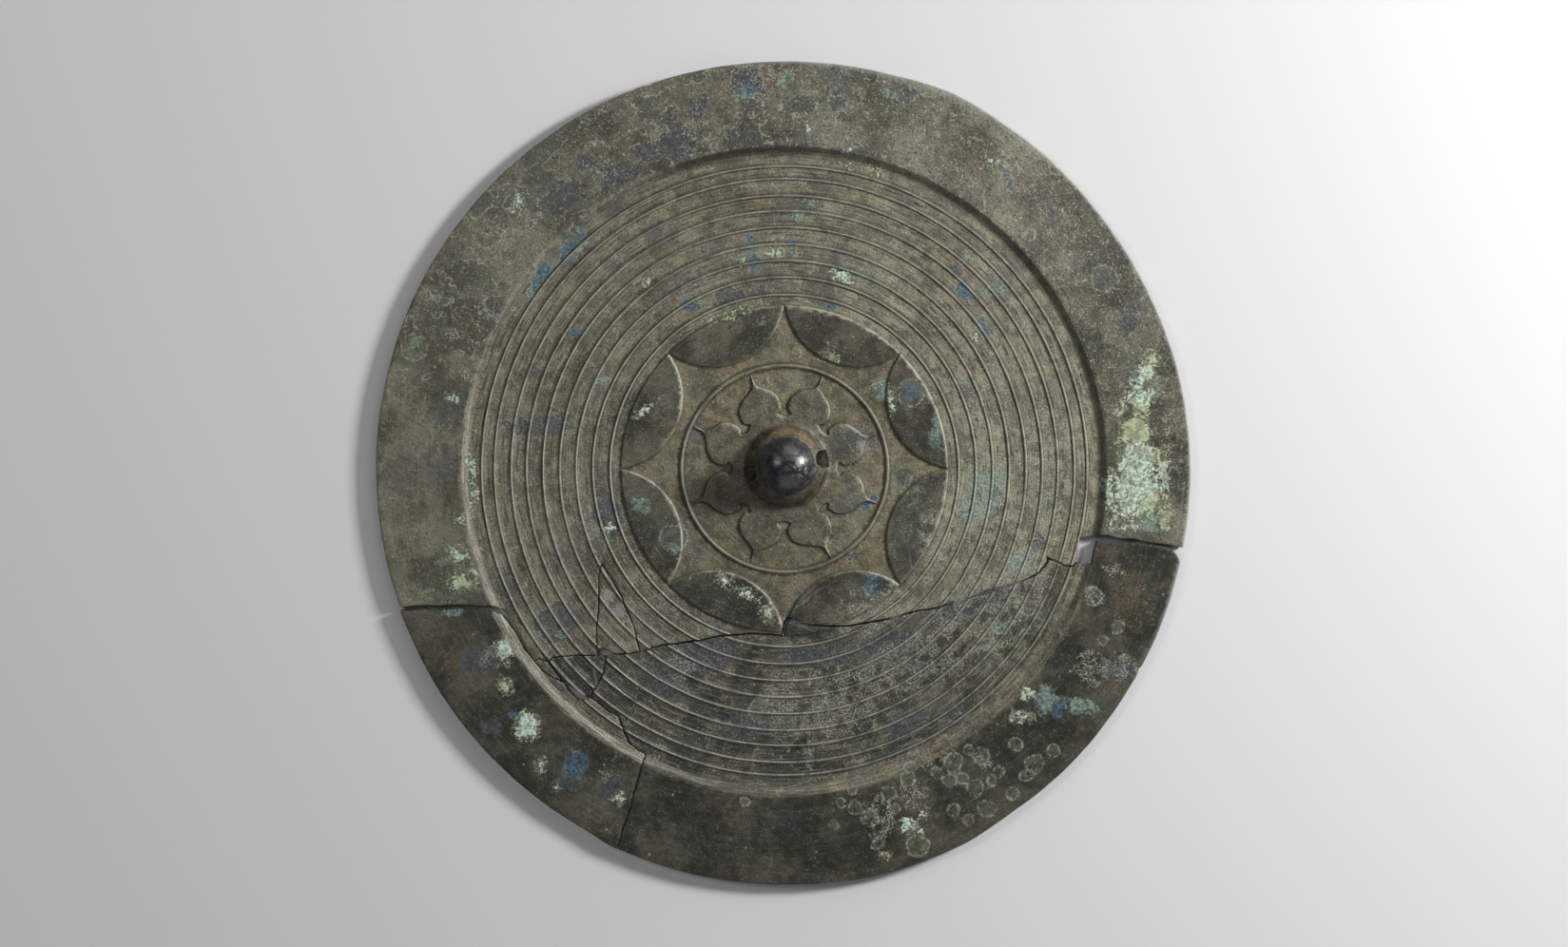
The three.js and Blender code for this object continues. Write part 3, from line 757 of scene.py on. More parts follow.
class Signal:
    """What one node gives. Sums, differences and products of signals become nodes of their own."""

    def __init__(self, nodes, socket):
        self.nodes = nodes
        self.socket = socket

    def __add__(self, other):
        return self.nodes.calc("ADD", self, other)

    def __radd__(self, other):
        return self.nodes.calc("ADD", other, self)

    def __sub__(self, other):
        return self.nodes.calc("SUBTRACT", self, other)

    def __rsub__(self, other):
        return self.nodes.calc("SUBTRACT", other, self)

    def __mul__(self, other):
        return self.nodes.calc("MULTIPLY", self, other)

    def __truediv__(self, other):
        return self.nodes.calc("DIVIDE", self, other)

    def __abs__(self):
        return self.nodes.calc("ABSOLUTE", self)


class Nodes:
    """Short names for the nodes of one tree."""

    def __init__(self, tree):
        self.tree = tree

    def node(self, kind, inputs=(), output=0, **settings):
        """Adds a node, sets it, feeds its inputs, and gives one of its outputs."""
        node = self.tree.nodes.new(kind)
        for name, value in settings.items():
            setattr(node, name, value)
        for name, value in dict(inputs).items():
            if isinstance(value, Signal):
                self.tree.links.new(value.socket, node.inputs[name])
            else:
                node.inputs[name].default_value = value
        return Signal(self, node.outputs[output])

    def calc(self, operation, *values, clamp=False):
        return self.node("ShaderNodeMath", enumerate(values), operation=operation, use_clamp=clamp)

    def vector(self, operation, *values, output="Vector"):
        return self.node("ShaderNodeVectorMath", enumerate(values), output, operation=operation)

    def eased(self, value, low, high, at_low=0.0, at_high=1.0, kind="SMOOTHSTEP"):
        """One value as another rises between two limits, or falls where the first limit is the higher."""
        inputs = enumerate((value, low, high, at_low, at_high))
        return self.node("ShaderNodeMapRange", inputs, interpolation_type=kind)


def relief_tree():
    """Raises each point of a slab to the height of the casting at its place."""
    tree = bpy.data.node_groups.new("Cast relief", "GeometryNodeTree")
    face = tree.interface
    face.new_socket("Geometry", in_out="INPUT", socket_type="NodeSocketGeometry")
    face.new_socket("Geometry", in_out="OUTPUT", socket_type="NodeSocketGeometry")
    face.new_socket("Slip", in_out="INPUT", socket_type="NodeSocketVector")
    sizes = {
        "Rim Thickness": RIM_THICKNESS, "Field Thickness": FIELD_THICKNESS,
        "Step Foot Radius": STEP_FOOT_RADIUS, "Step Top Radius": STEP_TOP_RADIUS,
        "Edge Rounding": EDGE_ROUNDING, "Break Wear": BREAK_WEAR, "Break Wear Width": BREAK_WEAR_WIDTH,
        "Ridge Half Width": RIDGE_HALF_WIDTH, "Ridge Height": RIDGE_HEIGHT,
        "Circle Radius": CIRCLE_RADIUS, "Circle Half Width": CIRCLE_HALF_WIDTH,
        "Circle Height": CIRCLE_HEIGHT,
        "Arc Height": ARC_HEIGHT, "Arc Edge": ARC_EDGE, "Leaf Height": LEAF_HEIGHT, "Leaf Edge": LEAF_EDGE,
        "Knob Base Radius": KNOB_BASE_RADIUS, "Knob Skirt Radius": KNOB_SKIRT_RADIUS,
        "Knob Skirt Height": KNOB_SKIRT_HEIGHT, "Knob Neck Radius": KNOB_NECK_RADIUS,
        "Knob Dome Radius": KNOB_DOME_RADIUS, "Knob Height": KNOB_HEIGHT,
        "Waviness": 0.10, "Roughness": 0.035, "Crust Height": 0.45,
    }
    for number, radius in enumerate(RIDGE_RADII, 1):
        sizes[f"Ridge {number} Radius"] = radius
    for name, size in sizes.items():
        face.new_socket(name, in_out="INPUT", socket_type="NodeSocketFloat").default_value = size * MM
    face.new_socket("Knob Centre", in_out="INPUT", socket_type="NodeSocketVector")
    face.new_socket("Seed", in_out="INPUT", socket_type="NodeSocketFloat").default_value = 4.0
    face.new_socket("Material", in_out="INPUT", socket_type="NodeSocketMaterial")
    n = Nodes(tree)
    given = {socket.name: Signal(n, socket) for socket in tree.nodes.new("NodeGroupInput").outputs}

    def stored(name):
        return n.node("GeometryNodeInputNamedAttribute", {"Name": name}, "Attribute", data_type="FLOAT")

    def unevenness(size, detail):
        inputs = {"W": given["Seed"], "Scale": 1.0 / (size * MM), "Detail": detail}
        return n.node("ShaderNodeTexNoise", inputs, noise_dimensions="4D") - 0.5

    def quarter_circle(share):
        return n.calc("SQRT", 1.0 - share * share)

    place = n.vector("SUBTRACT", n.node("GeometryNodeInputPosition"), given["Slip"])
    radius = n.vector("LENGTH", place, output="Value")
    step = n.eased(radius, given["Step Foot Radius"], given["Step Top Radius"],
                   given["Field Thickness"], given["Rim Thickness"], "LINEAR")

    ridges = 0.0
    for number in range(1, len(RIDGE_RADII) + 1):
        away = abs(radius - given[f"Ridge {number} Radius"])
        share = n.calc("MINIMUM", away / given["Ridge Half Width"], 1.0)
        ridges = ridges + quarter_circle(share) * given["Ridge Height"]
    ridges = ridges * (1.0 - stored("ridge_wear"))
    away = abs(radius - given["Circle Radius"])
    ring = n.eased(away, 0.0, given["Circle Half Width"], given["Circle Height"], 0.0)

    arcs = n.eased(stored("arc_depth"), 0.0, given["Arc Edge"], 0.0, given["Arc Height"])
    leaves = n.eased(stored("leaf_depth"), 0.0, given["Leaf Edge"], 0.0, given["Leaf Height"])

    from_knob = n.vector("LENGTH", n.vector("SUBTRACT", place, given["Knob Centre"]), output="Value")
    neck, dome_radius = given["Knob Neck Radius"], given["Knob Dome Radius"]
    skirt_radius, skirt_height = given["Knob Skirt Radius"], given["Knob Skirt Height"]

    def dome_height(across):
        square = n.calc("SQRT", dome_radius * dome_radius - across * across)
        return given["Knob Height"] - dome_radius + square

    dome = dome_height(n.calc("MINIMUM", from_knob, neck))
    skirt = n.eased(from_knob, neck, skirt_radius, dome_height(neck), skirt_height, "LINEAR")
    foot = n.eased(from_knob, skirt_radius, given["Knob Base Radius"], skirt_height, 0.0, "LINEAR")
    on_skirt = n.calc("LESS_THAN", from_knob, skirt_radius)
    on_dome = n.calc("LESS_THAN", from_knob, neck)
    side = skirt * on_skirt + foot * (1.0 - on_skirt)
    knob = dome * on_dome + side * (1.0 - on_dome)
    raised_design = n.calc("MAXIMUM", leaves, knob)

    # The cast edge is rounded like a quarter circle, and the edges of the breaks are a little worn
    share = 1.0 - n.calc("MINIMUM", stored("from_edge") / given["Edge Rounding"], 1.0)
    rounding = given["Edge Rounding"] * (quarter_circle(share) - 1.0)
    wear = n.eased(stored("from_break"), 0.0, given["Break Wear Width"], given["Break Wear"] * -1.0, 0.0)

    waves = unevenness(26.0, 2.0) * (given["Waviness"] * 2.0)
    grain = unevenness(2.6, 3.0) * (given["Roughness"] * 2.0)
    calm = n.eased(from_knob, neck, skirt_radius, 0.15, 1.0)
    crust = stored("crust") * given["Crust Height"] * (0.75 + unevenness(2.2, 3.0))
    height = step + ridges + ring + arcs + raised_design + rounding + wear
    height = height + waves * calm + grain * calm + crust

    up = n.node("ShaderNodeCombineXYZ", {"Z": height * stored("lift")})
    raised = n.node("GeometryNodeSetPosition", {"Geometry": given["Geometry"], "Offset": up})
    real = n.node("GeometryNodeRealizeInstances", {0: raised})
    painted = n.node("GeometryNodeSetMaterial", {"Geometry": real, "Material": given["Material"]})
    tree.links.new(painted.socket, tree.nodes.new("NodeGroupOutput").inputs[0])
    return tree


RELIEF = relief_tree()


def socket_id(name):
    items = RELIEF.interface.items_tree
    return next(item.identifier for item in items if item.name == name and item.in_out == "INPUT")


def applied(piece, modifier):
    """Leaves what a modifier makes as the piece's own plain mesh, smooth but for its sharp edges."""
    bpy.context.view_layer.update()
    graph = bpy.context.evaluated_depsgraph_get()
    finished = bpy.data.meshes.new_from_object(piece.evaluated_get(graph), depsgraph=graph)
    piece.modifiers.remove(modifier)
    old = piece.data
    piece.data = finished
    bpy.data.meshes.remove(old)
    finished.name = piece.name
    finished.shade_smooth()
    finished.set_sharp_from_angle(angle=math.radians(SHARP_ANGLE))


def fragment(name, outline, slip, seed):
    """One fragment of the casting: its slab, its patina and its relief."""
    points, faces, values = slab(outline, slip, seed)
    values.update(patina_values(name, points, np.array(slip), values))
    piece = bpy.data.objects.new(name, mesh_of(name, points, faces, values))
    bpy.context.scene.collection.objects.link(piece)
    raising = piece.modifiers.new(RELIEF.name, "NODES")
    raising.node_group = RELIEF
    raising[socket_id("Slip")] = (slip[0] * MM, slip[1] * MM, 0.0)
    raising[socket_id("Knob Centre")] = (*(KNOB_CENTRE * MM), 0.0)
    raising[socket_id("Material")] = bronze
    applied(piece, raising)
    return piece


def band(value, low, low_end, high, high_end):
    """One between two limits, eased at both."""
    return smooth(value, low, low_end) * (1.0 - smooth(value, high, high_end))


def close_to(distance, reach):
    return 1.0 - np.clip(np.abs(distance) / reach, 0.0, 1.0)


def lit_edge_band(depth, ahead, low, high):
    """A painted highlight with wear: a band just inside an outline, only where the outline looks towards the
    lamp at the upper right.
    """
    facing = smooth((depth - ahead) / 0.6, 0.15, 0.85)
    return facing * band(depth, low - 0.45, low, high, high + 0.45)


def patina_values(name, points, slip, cast_values):
    """Named values for each point: where the patches lie, and how dark, earthy and gritty each zone is."""
    cast = points - slip
    radius = np.hypot(*cast.T)
    angle = np.degrees(np.arctan2(cast[:, 1], cast[:, 0])) % 360.0
    on_knob = cast - KNOB_CENTRE
    from_knob = np.hypot(*on_knob.T)
    around_knob = np.degrees(np.arctan2(on_knob[:, 1], on_knob[:, 0]))
    arcs = cast_values["arc_depth"] / MM
    leaves = cast_values["leaf_depth"] / MM
    on_rim = smooth(radius, 182.0, 184.0)
    in_field = 1.0 - on_rim
    in_lens = np.clip(arcs / 1.5, 0.0, 1.0)
    on_ground = 1.0 - smooth(radius, 92.0, 94.0)
    lower = float(name in ("lower", "ring_piece"))
    left = float(name == "left_rim")

    def sector(middle, reach, fade):
        """One over the angles around a middle, in degrees counted from the right, and zero elsewhere."""
        return 1.0 - smooth(degrees_apart(angle, middle), reach, reach + fade)

    values = {}
    shaken = points
    for number, (size, reach) in enumerate(PATCH_SWAY):
        shaken = shaken + sway(points, size, reach, 70 + number)
    for kind, patches in PATCHES.items():
        values[kind] = np.clip(0.5 + patch_depth(shaken, patches) / (2.0 * PATCH_FADE), 0.0, 1.0)
    ring = np.full(len(points), 9.0)
    for x, y, spot in RING_SPOTS:
        away = np.hypot(*(points * 0.6 + shaken * 0.4 - on_plan([(x, y)])[0]).T) - spot * PLAN_STEP
        ring = np.where(np.abs(away) < np.abs(ring), away, ring)
    values["ring_spot"] = ring * MM
    values["hairline"] = close_to(nearest(points, HAIR_MIDDLE, 2.0), 0.38)

    # Smooth dark bronze, and the brown ledge at the foot of the step
    polish = 0.30 * np.ones(len(points))
    polish += on_rim * (0.70 * lower + 0.60 * left + 0.30 * sector(108, 14, 16) - 0.12 * sector(35, 20, 15))
    polish += on_rim * 0.42 * sector(13, 14, 10)
    polish += in_field * (
        0.66 * lower - 0.12 + 0.10 * left - 0.16 * sector(20, 40, 30) - 0.14 * sector(75, 35, 25))
    polish = np.maximum(polish, in_lens * 0.80)
    polish += on_ground * (1.0 - in_lens) * (0.06 + 0.22 * sector(45, 28, 14))
    polish += in_field * 0.08 * sector(240, 40, 20)
    ledge = band(radius, 174.0, 175.5, 183.6, 184.4) * sector(308, 26, 14) * lower
    polish *= 1.0 - 0.75 * ledge
    values["polish"] = np.clip(polish, 0.0, 1.0)

    # Skins of crust, a bright field at the right, denser crust on the right rim
    plates = 0.35 + 0.65 * sector(125, 32, 22) + 0.3 * sector(60, 20, 20)
    plates = on_rim * plates * (1.0 - 0.75 * max(lower, left))
    values["plates"] = np.clip(plates + in_field * (0.55 - 0.45 * on_ground), 0.0, 1.0)
    values["fair"] = in_field * (1.0 - in_lens) * 0.80 * sector(25, 35, 40)
    values["fair"] *= (1.0 - on_ground) * (1.0 - 0.9 * lower)
    values["dense"] = 1.0 - 0.55 * smooth(radius, 180.0, 186.0) * sector(10, 25, 8)

    # Earth in the field and on the step, and painted highlight on the step faces that look towards the lamp
    earth = in_field * (0.42 + 0.12 * sector(110, 50, 40) - 0.24 * lower) + on_rim * 0.08 * (1.0 - lower)
    earth += on_ground * (0.5 - 0.15 * lower)
    earth *= 1.0 - 0.9 * in_lens
    step = band(radius, 178.0, 180.0, 183.0, 184.5)
    earth = np.maximum(earth, step * (0.85 * sector(215, 60, 20) + 0.5 * sector(285, 30, 20) + 0.3))
    values["earth"] = np.clip(np.maximum(earth, 0.9 * ledge), 0.0, 1.0)
    step_face = band(radius, 177.8, 179.2, 183.8, 184.6)
    step_top = band(radius, 181.0, 182.0, 183.6, 184.6)
    # Painted highlight on the step faces that look towards the lamp: the left rim fragment's, part of the
    # lower one's, and the step top
    values["lit_step_highlight"] = step_face * (left + lower * 0.38 * sector(262, 22, 22))
    values["lit_step_highlight"] += step_top * 0.75 * sector(195, 24, 14) * (1.0 - left) * (1.0 - lower)

    # Painted highlights with wear on the edges, painted shadows by the step and the knob, and dark feet of
    # the raised design
    # Painted highlight with wear along the cast edge at the upper right, where it faces the lamp
    outermost = 1.0 - smooth(edge_radius(np.radians(angle)) - radius, 0.5, 1.6)
    values["edge_wear_and_highlight"] = outermost * sector(35, 50, 20) * (cast_values["lift"] > 0.9)
    values["leaf"] = np.clip(leaves / 0.6, 0.0, 1.0) * (from_knob > KNOB_BASE_RADIUS)
    shade = band(radius, 176.5, 181.5, 183.3, 184.2)
    # Painted shadow: the knob's cast shadow to its left, and the rim step's shadow along its foot at the
    # right, top and upper left
    knob_shadow = np.hypot(*((cast - on_plan([(738, 520)])[0]) / (19.0, 12.0)).T)
    knob_shadow = 0.55 * (1.0 - smooth(knob_shadow, 0.5, 1.2)) * (1.0 - values["leaf"] * 0.3)
    painted_shadow = shade * (sector(42, 62, 16) * 0.60 + 0.30 * sector(130, 30, 20)) * (1.0 - lower)
    values["painted_shadow"] = np.maximum(painted_shadow, knob_shadow)
    # Painted highlight with wear on the ridge and circle crests, stronger at the lower left, where their lit
    # flanks face the lamp
    crests = [close_to(radius - r, 0.74 * RIDGE_HALF_WIDTH) for r in RIDGE_RADII]
    crests.append(close_to(radius - CIRCLE_RADIUS, 0.7 * CIRCLE_HALF_WIDTH) * 0.45)
    values["crest_wear_and_highlight"] = np.max(crests, axis=0) * (0.66 + 0.34 * sector(210, 50, 35))
    values["crest_wear_and_highlight"] *= 1.0 - 0.15 * sector(320, 30, 20)
    # Painted highlight with wear on the edges of the arcs, leaves and knob base that face the lamp, and the
    # worn lip of the step
    look = 0.6 * polar(1.0, math.radians(35.0))
    worn = lit_edge_band(arcs, arc_depth(cast + look), 0.3, 0.9)
    central = np.flatnonzero(radius < CIRCLE_RADIUS)
    if len(central):
        ahead = outline_depth(cast[central] + look, LEAVES)
        worn[central] = lit_edge_band(leaves[central], ahead, 0.1, 0.8)
        worn[central] *= from_knob[central] > KNOB_BASE_RADIUS + 1.0
    step_lip = band(radius, 181.4, 182.2, 183.7, 184.3) * sector(150, 38, 20)
    base_ring = band(from_knob, 23.0, 23.8, 24.4, 25.2)
    base_ring *= 1.0 - smooth(np.abs(around_knob - 15.0), 25.0, 65.0)
    values["worn"] = np.maximum(np.maximum(worn, 0.55 * step_lip), 0.75 * base_ring)
    feet = [np.abs(np.abs(radius - r) - RIDGE_HALF_WIDTH) < 0.04 for r in RIDGE_RADII]
    feet.append(np.abs(np.abs(radius - CIRCLE_RADIUS) - CIRCLE_HALF_WIDTH) < 0.04)
    shaded = [close_to(radius - r - 1.1 * RIDGE_HALF_WIDTH, 0.75) for r in RIDGE_RADII]
    feet.append(np.max(shaded, axis=0) * sector(95, 60, 35))
    feet += [0.8 * close_to(arcs, 0.5), 0.8 * close_to(leaves, 0.5)]
    values["foot"] = np.max(np.array(feet, float), axis=0)
    ridge_wear = 0.10 + 0.12 * lower * sector(315, 22, 20) + 0.25 * sector(335, 14, 16)
    values["ridge_wear"] = np.clip(ridge_wear + 0.18 * ripple(cast, 14.0, 60), 0.0, 0.9)

    # Grit and fine marks
    grit = 0.35 + 0.5 * sector(60, 45, 25) + 0.3 * sector(125, 25, 20) - 0.2 * sector(190, 20, 20)
    grit = on_rim * grit * (1.0 - 0.7 * max(lower, left))
    values["grit"] = np.clip(grit + 0.45 * in_field + 0.12, 0.0, 1.0)
    values["seams"] = in_field * np.clip(0.9 * lower + 0.25 + 0.4 * sector(330, 20, 20), 0.0, 1.0)
    values["turning"] = smooth(radius, 90.0, 95.0) * (1.0 - 0.85 * on_rim) + 0.12
    values["calm"] = on_ground * (1.0 - in_lens)

    # The knob: its dome, its scuffs with a painted sheen, and its skirt with an ochre crescent
    values["dome"] = 1.0 - smooth(from_knob + 0.4 * ripple(cast, 2.5, 77), 16.5, 17.4)
    values["dome_scuffs_and_sheen"] = 1.0 - smooth(np.hypot(*(on_knob - np.array([9.0, 0.0])).T), 3.0, 11.0)
    values["skirt"] = band(from_knob, 16.2, 17.4, 23.2, 25.4)
    crescent = 1.0 - smooth(degrees_apart(around_knob, 70.0), 35.0, 95.0)
    values["ochre"] = values["skirt"] * (0.06 + 0.94 * crescent * (1.0 - smooth(from_knob, 20.5, 23.5)))
    crust = np.maximum(values["mint"], 0.5 * values["pale"])
    crust *= smooth(values["mint"] + values["pale"], 0.5, 0.9)
    values["crust"] = crust * (1.0 - values["dome"])
    return values


class Paint(Nodes):
    """Nodes of a material, whose colour is laid on in coats. Sizes are in millimetres."""

    def __init__(self, tree):
        super().__init__(tree)
        self.place = self.node("ShaderNodeTexCoord", output="Object")
        self.colour = None

    def value(self, name):
        return self.node("ShaderNodeAttribute", output="Fac", attribute_name=name)

    def noise(self, size, detail, roughness, shift=None, place=None):
        if shift:
            place = self.node("ShaderNodeMapping", {"Vector": self.place, "Location": shift})
        return self.node("ShaderNodeTexNoise", {
            "Vector": place or self.place, "Scale": 1000.0 / size, "Detail": detail, "Roughness": roughness,
        })

    def cells(self, size, feature, sway=0.0):
        """Distances in a net of cells, whose sides are swayed by a finer noise."""
        inputs = {"Vector": self.place, "Scale": 2000.0 / size}
        wander = self.node("ShaderNodeTexNoise", inputs, "Color")
        place = self.vector("MULTIPLY_ADD", wander, (sway / 1000.0, sway / 1000.0, 0.0), self.place)
        inputs = {"Vector": place, "Scale": 1000.0 / size}
        return self.node("ShaderNodeTexVoronoi", inputs, "Distance", feature=feature)

    def wound(self, across, along):
        """The place wound round the mirror's middle, for marks of a size across and along its rings."""
        flat = self.vector("MULTIPLY", self.place, (1.0, 1.0, 0.0))
        radius = self.vector("LENGTH", flat, output="Value")
        inputs = {0: self.vector("NORMALIZE", flat), "Scale": 140.0 / along}
        turn = self.node("ShaderNodeVectorMath", inputs, operation="SCALE")
        rise = self.node("ShaderNodeCombineXYZ", {"Z": radius * (1000.0 / across)})
        return self.vector("ADD", turn, rise)

    def mixed(self, share, first, second):
        first, second = [c if isinstance(c, Signal) else (*c, 1.0) for c in (first, second)]
        return self.node("ShaderNodeMix", {0: share, 6: first, 7: second}, 2, data_type="RGBA")

    def paint(self, share, tint):
        """Lays a tint over the colour so far."""
        self.colour = self.mixed(share, self.colour, tint)


def old_bronze():
    material = bpy.data.materials.new("old_bronze")
    material.use_nodes = True
    p = Paint(material.node_tree)
    clouds = p.noise(34.0, 3.0, 0.50)
    other_clouds = p.noise(22.0, 3.0, 0.52, (0.31, 0.12, 0.0))
    third_clouds = p.noise(27.0, 3.0, 0.55, (-0.2, 0.4, 0.0))
    mottle = p.noise(6.5, 5.0, 0.68)
    grain = p.noise(1.5, 4.0, 0.7)
    speck = p.noise(0.9, 2.0, 0.6, (0.05, 0.2, 0.1))
    flecks = (grain - 0.5) * 2.4
    edge = (p.noise(5.0, 4.0, 0.65, (0.4, 0.0, 0.2)) - 0.5) * 2.4
    streaks = p.noise(1000.0, 3.0, 0.6, place=p.wound(0.9, 15.0))

    # Bare patinated bronze: olive grey, darker where it is smooth, brown where earth clings
    tone = clouds * 0.84 + mottle * 0.16
    p.colour = p.mixed(p.eased(tone, 0.40, 0.60), (0.104, 0.102, 0.068), (0.300, 0.288, 0.204))
    earth = p.mixed(p.eased(mottle, 0.35, 0.65), (0.136, 0.108, 0.054), (0.285, 0.232, 0.124))
    p.paint(p.value("earth") * p.eased(third_clouds, 0.30, 0.62, 0.35, 1.0), earth)
    p.paint(p.value("leaf") * p.eased(mottle, 0.36, 0.56, 0.75, 0.45), (0.070, 0.071, 0.062))
    polish = p.calc("MULTIPLY", p.value("polish"), p.eased(tone, 0.40, 0.62, 1.06, 0.88), clamp=True)
    dark = p.mixed(p.eased(clouds, 0.38, 0.62), (0.025, 0.026, 0.019), (0.044, 0.044, 0.031))
    slate_field = p.value("seams") * p.eased(third_clouds, 0.35, 0.60, 1.0, 0.2)
    p.paint(polish, p.mixed(slate_field, dark, (0.037, 0.043, 0.042)))
    p.paint(p.value("fair") * p.eased(mottle, 0.36, 0.60, 0.10, 0.60), (0.400, 0.374, 0.262))
    rough_ground = p.eased(p.noise(13.0, 4.0, 0.65, (0.1, 0.9, 0.0)), 0.42, 0.60)
    calm = 1.0 - p.value("calm") * 0.6
    light_flecks = p.eased(flecks, 0.05, 0.45) * (1.0 - polish * 0.88) * calm
    p.paint(light_flecks * (rough_ground * 0.62), (0.430, 0.410, 0.310))
    dark_flecks = p.eased(flecks, -0.05, -0.36, 0.0, 0.62) * calm
    p.paint(dark_flecks * p.eased(rough_ground, 0.0, 1.0, 0.35, 1.0), (0.022, 0.022, 0.016))
    turning = p.value("turning")
    bright_lines = p.eased(streaks, 0.54, 0.66, 0.0, 0.58) * turning
    p.paint(bright_lines * p.eased(polish, 0.5, 1.0, 1.0, 0.6), (0.340, 0.335, 0.255))
    p.paint(p.eased(streaks, 0.46, 0.35, 0.0, 0.74) * turning, (0.030, 0.030, 0.022))

    # Clouds of other colours over the field and the rim
    open_ground = p.eased(polish, 0.2, 0.9, 1.0, 0.16)
    for cloud, low, high, share, tint in (
        (other_clouds, 0.54, 0.68, 0.50, (0.100, 0.112, 0.114)),
        (other_clouds, 0.45, 0.30, 0.50, (0.120, 0.145, 0.080)),
        (third_clouds, 0.58, 0.70, 0.40, (0.148, 0.114, 0.066)),
    ):
        p.paint(p.eased(cloud, low, high, 0.0, share) * open_ground, tint)

    # Skins of corrosion product with a thin light rim, like islands on a map, and round scars
    plates = p.value("plates")
    for size, shift, level, tint in (
        (26.0, (0.9, 0.3, 0.0), 0.590, (0.076, 0.080, 0.072)),
        (17.0, (0.2, 0.8, 0.1), 0.620, (0.150, 0.132, 0.088)),
        (31.0, (0.5, 0.1, 0.4), 0.600, (0.100, 0.110, 0.078)),
    ):
        island = p.noise(size, 3.0, 0.50, shift)
        inside = p.eased(island, level - 0.006, level + 0.008) * plates
        p.paint(inside * p.eased(mottle, 0.38, 0.52, 0.40, 0.80), tint)
        line = p.eased(abs(island - level), 0.007, 0.003) * plates
        p.paint(line * p.eased(mottle, 0.44, 0.54, 0.0, 0.70), (0.420, 0.400, 0.300))
    scars = p.eased(abs(p.cells(12.0, "F1", 1.2) - 0.17), 0.035, 0.012)
    scarred = p.eased(p.noise(19.0, 2.0, 0.5, (0.6, 0.5, 0.1)), 0.54, 0.58) * plates
    p.paint(scars * scarred * 0.50, (0.420, 0.420, 0.330))

    # The listed patches, each kind crumbling at its edge in its own way
    unpolished = p.eased(polish, 0.35, 0.80, 1.0, 0.12)

    def stain(name, sway, crumble, softness, strength, dark_tint, light_tint, by=None, outline=0.0):
        own = p.value(name)
        shifted = own + edge * sway + flecks * crumble
        mask = p.eased(shifted, 0.5 - softness, 0.5 + softness, 0.0, strength) * p.eased(own, 0.10, 0.42)
        if by:
            mask = mask * by
        p.paint(mask, p.mixed(p.eased(flecks, -0.3, 0.3), dark_tint, light_tint))
        if outline:
            line = p.eased(abs(shifted - 0.46), 0.09, 0.02, 0.0, outline)
            p.paint(line * p.eased(own, 0.15, 0.40) * unpolished, (0.330, 0.340, 0.260))
        return mask

    stain("rust", 1.3, 0.5, 0.40, 0.26, (0.075, 0.046, 0.027), (0.170, 0.110, 0.062))
    stain("rust", 1.3, 0.5, 0.30, 0.80, (0.180, 0.100, 0.046), (0.330, 0.215, 0.115),
          p.eased(speck, 0.60, 0.67))
    stain("slate", 0.80, 0.12, 0.10, 0.80, (0.042, 0.050, 0.054), (0.108, 0.118, 0.120), outline=0.46)
    stain("film", 0.45, 0.10, 0.08, 0.72, (0.240, 0.250, 0.225), (0.330, 0.340, 0.310))
    stain("green", 1.5, 0.9, 0.40, 0.66, (0.085, 0.125, 0.072), (0.320, 0.365, 0.225),
          p.eased(mottle, 0.42, 0.60, 0.15, 1.0))
    stain("turquoise", 0.6, 0.7, 0.20, 0.78, (0.085, 0.150, 0.130), (0.330, 0.450, 0.380),
          p.eased(mottle, 0.36, 0.52, 0.4, 1.0))
    stain("blue", 0.85, 0.35, 0.10, 0.90, (0.022, 0.050, 0.078), (0.105, 0.200, 0.270),
          p.eased(mottle, 0.38, 0.50, 0.3, 1.0), 0.34)

    # Light grit and dark pits, thick where the metal is rough
    grit = p.value("grit")
    spots = p.eased(speck, 0.57, 0.68) * p.eased(mottle, 0.40, 0.58, 0.15, 1.0)
    p.paint(spots * grit, (0.520, 0.500, 0.400))
    pits = p.eased(speck, 0.43, 0.35) * p.eased(mottle, 0.58, 0.42, 0.15, 1.0)
    p.paint(pits * p.calc("ADD", grit, 0.2, clamp=True), (0.035, 0.032, 0.026))
    chosen = p.eased(p.noise(11.0, 2.0, 0.5, (0.7, 0.1, 0.3)), 0.56, 0.60)
    p.paint(p.eased(p.cells(7.5, "F1"), 0.13, 0.07) * chosen * 0.75, (0.330, 0.370, 0.270))

    # Fine seams that run over the field like old cracks, scratches and corroded hairlines
    web = p.eased(p.cells(34.0, "DISTANCE_TO_EDGE", 9.0), 0.014, 0.004) * p.eased(other_clouds, 0.46, 0.56)
    p.paint(web * p.value("seams") * 0.42, (0.260, 0.255, 0.215))
    scratches = p.eased(p.cells(17.0, "DISTANCE_TO_EDGE", 6.0), 0.012, 0.003)
    scratches = scratches * p.eased(third_clouds, 0.46, 0.54, 0.0, 0.28)
    p.paint(p.calc("MULTIPLY", scratches, turning, clamp=True), (0.300, 0.300, 0.245))
    hairline = p.value("hairline") * p.eased(edge, -0.35, 0.0)
    seam = p.mixed(p.eased(other_clouds, 0.44, 0.52), (0.035, 0.030, 0.020), (0.300, 0.290, 0.230))
    p.paint(hairline * 0.75, seam)

    # Rings left by bubbles of corrosion
    ring = p.eased(abs(p.value("ring_spot") + edge * 0.0012), 0.0010, 0.0003) * p.eased(flecks, -0.25, 0.25)
    p.paint(ring * p.eased(mottle, 0.40, 0.58, 0.40, 0.85), (0.400, 0.410, 0.320))
    within = p.eased(p.value("ring_spot"), 0.0, -0.0012)
    p.paint(within * p.eased(mottle, 0.42, 0.58, 0.15, 0.55), (0.150, 0.158, 0.112))

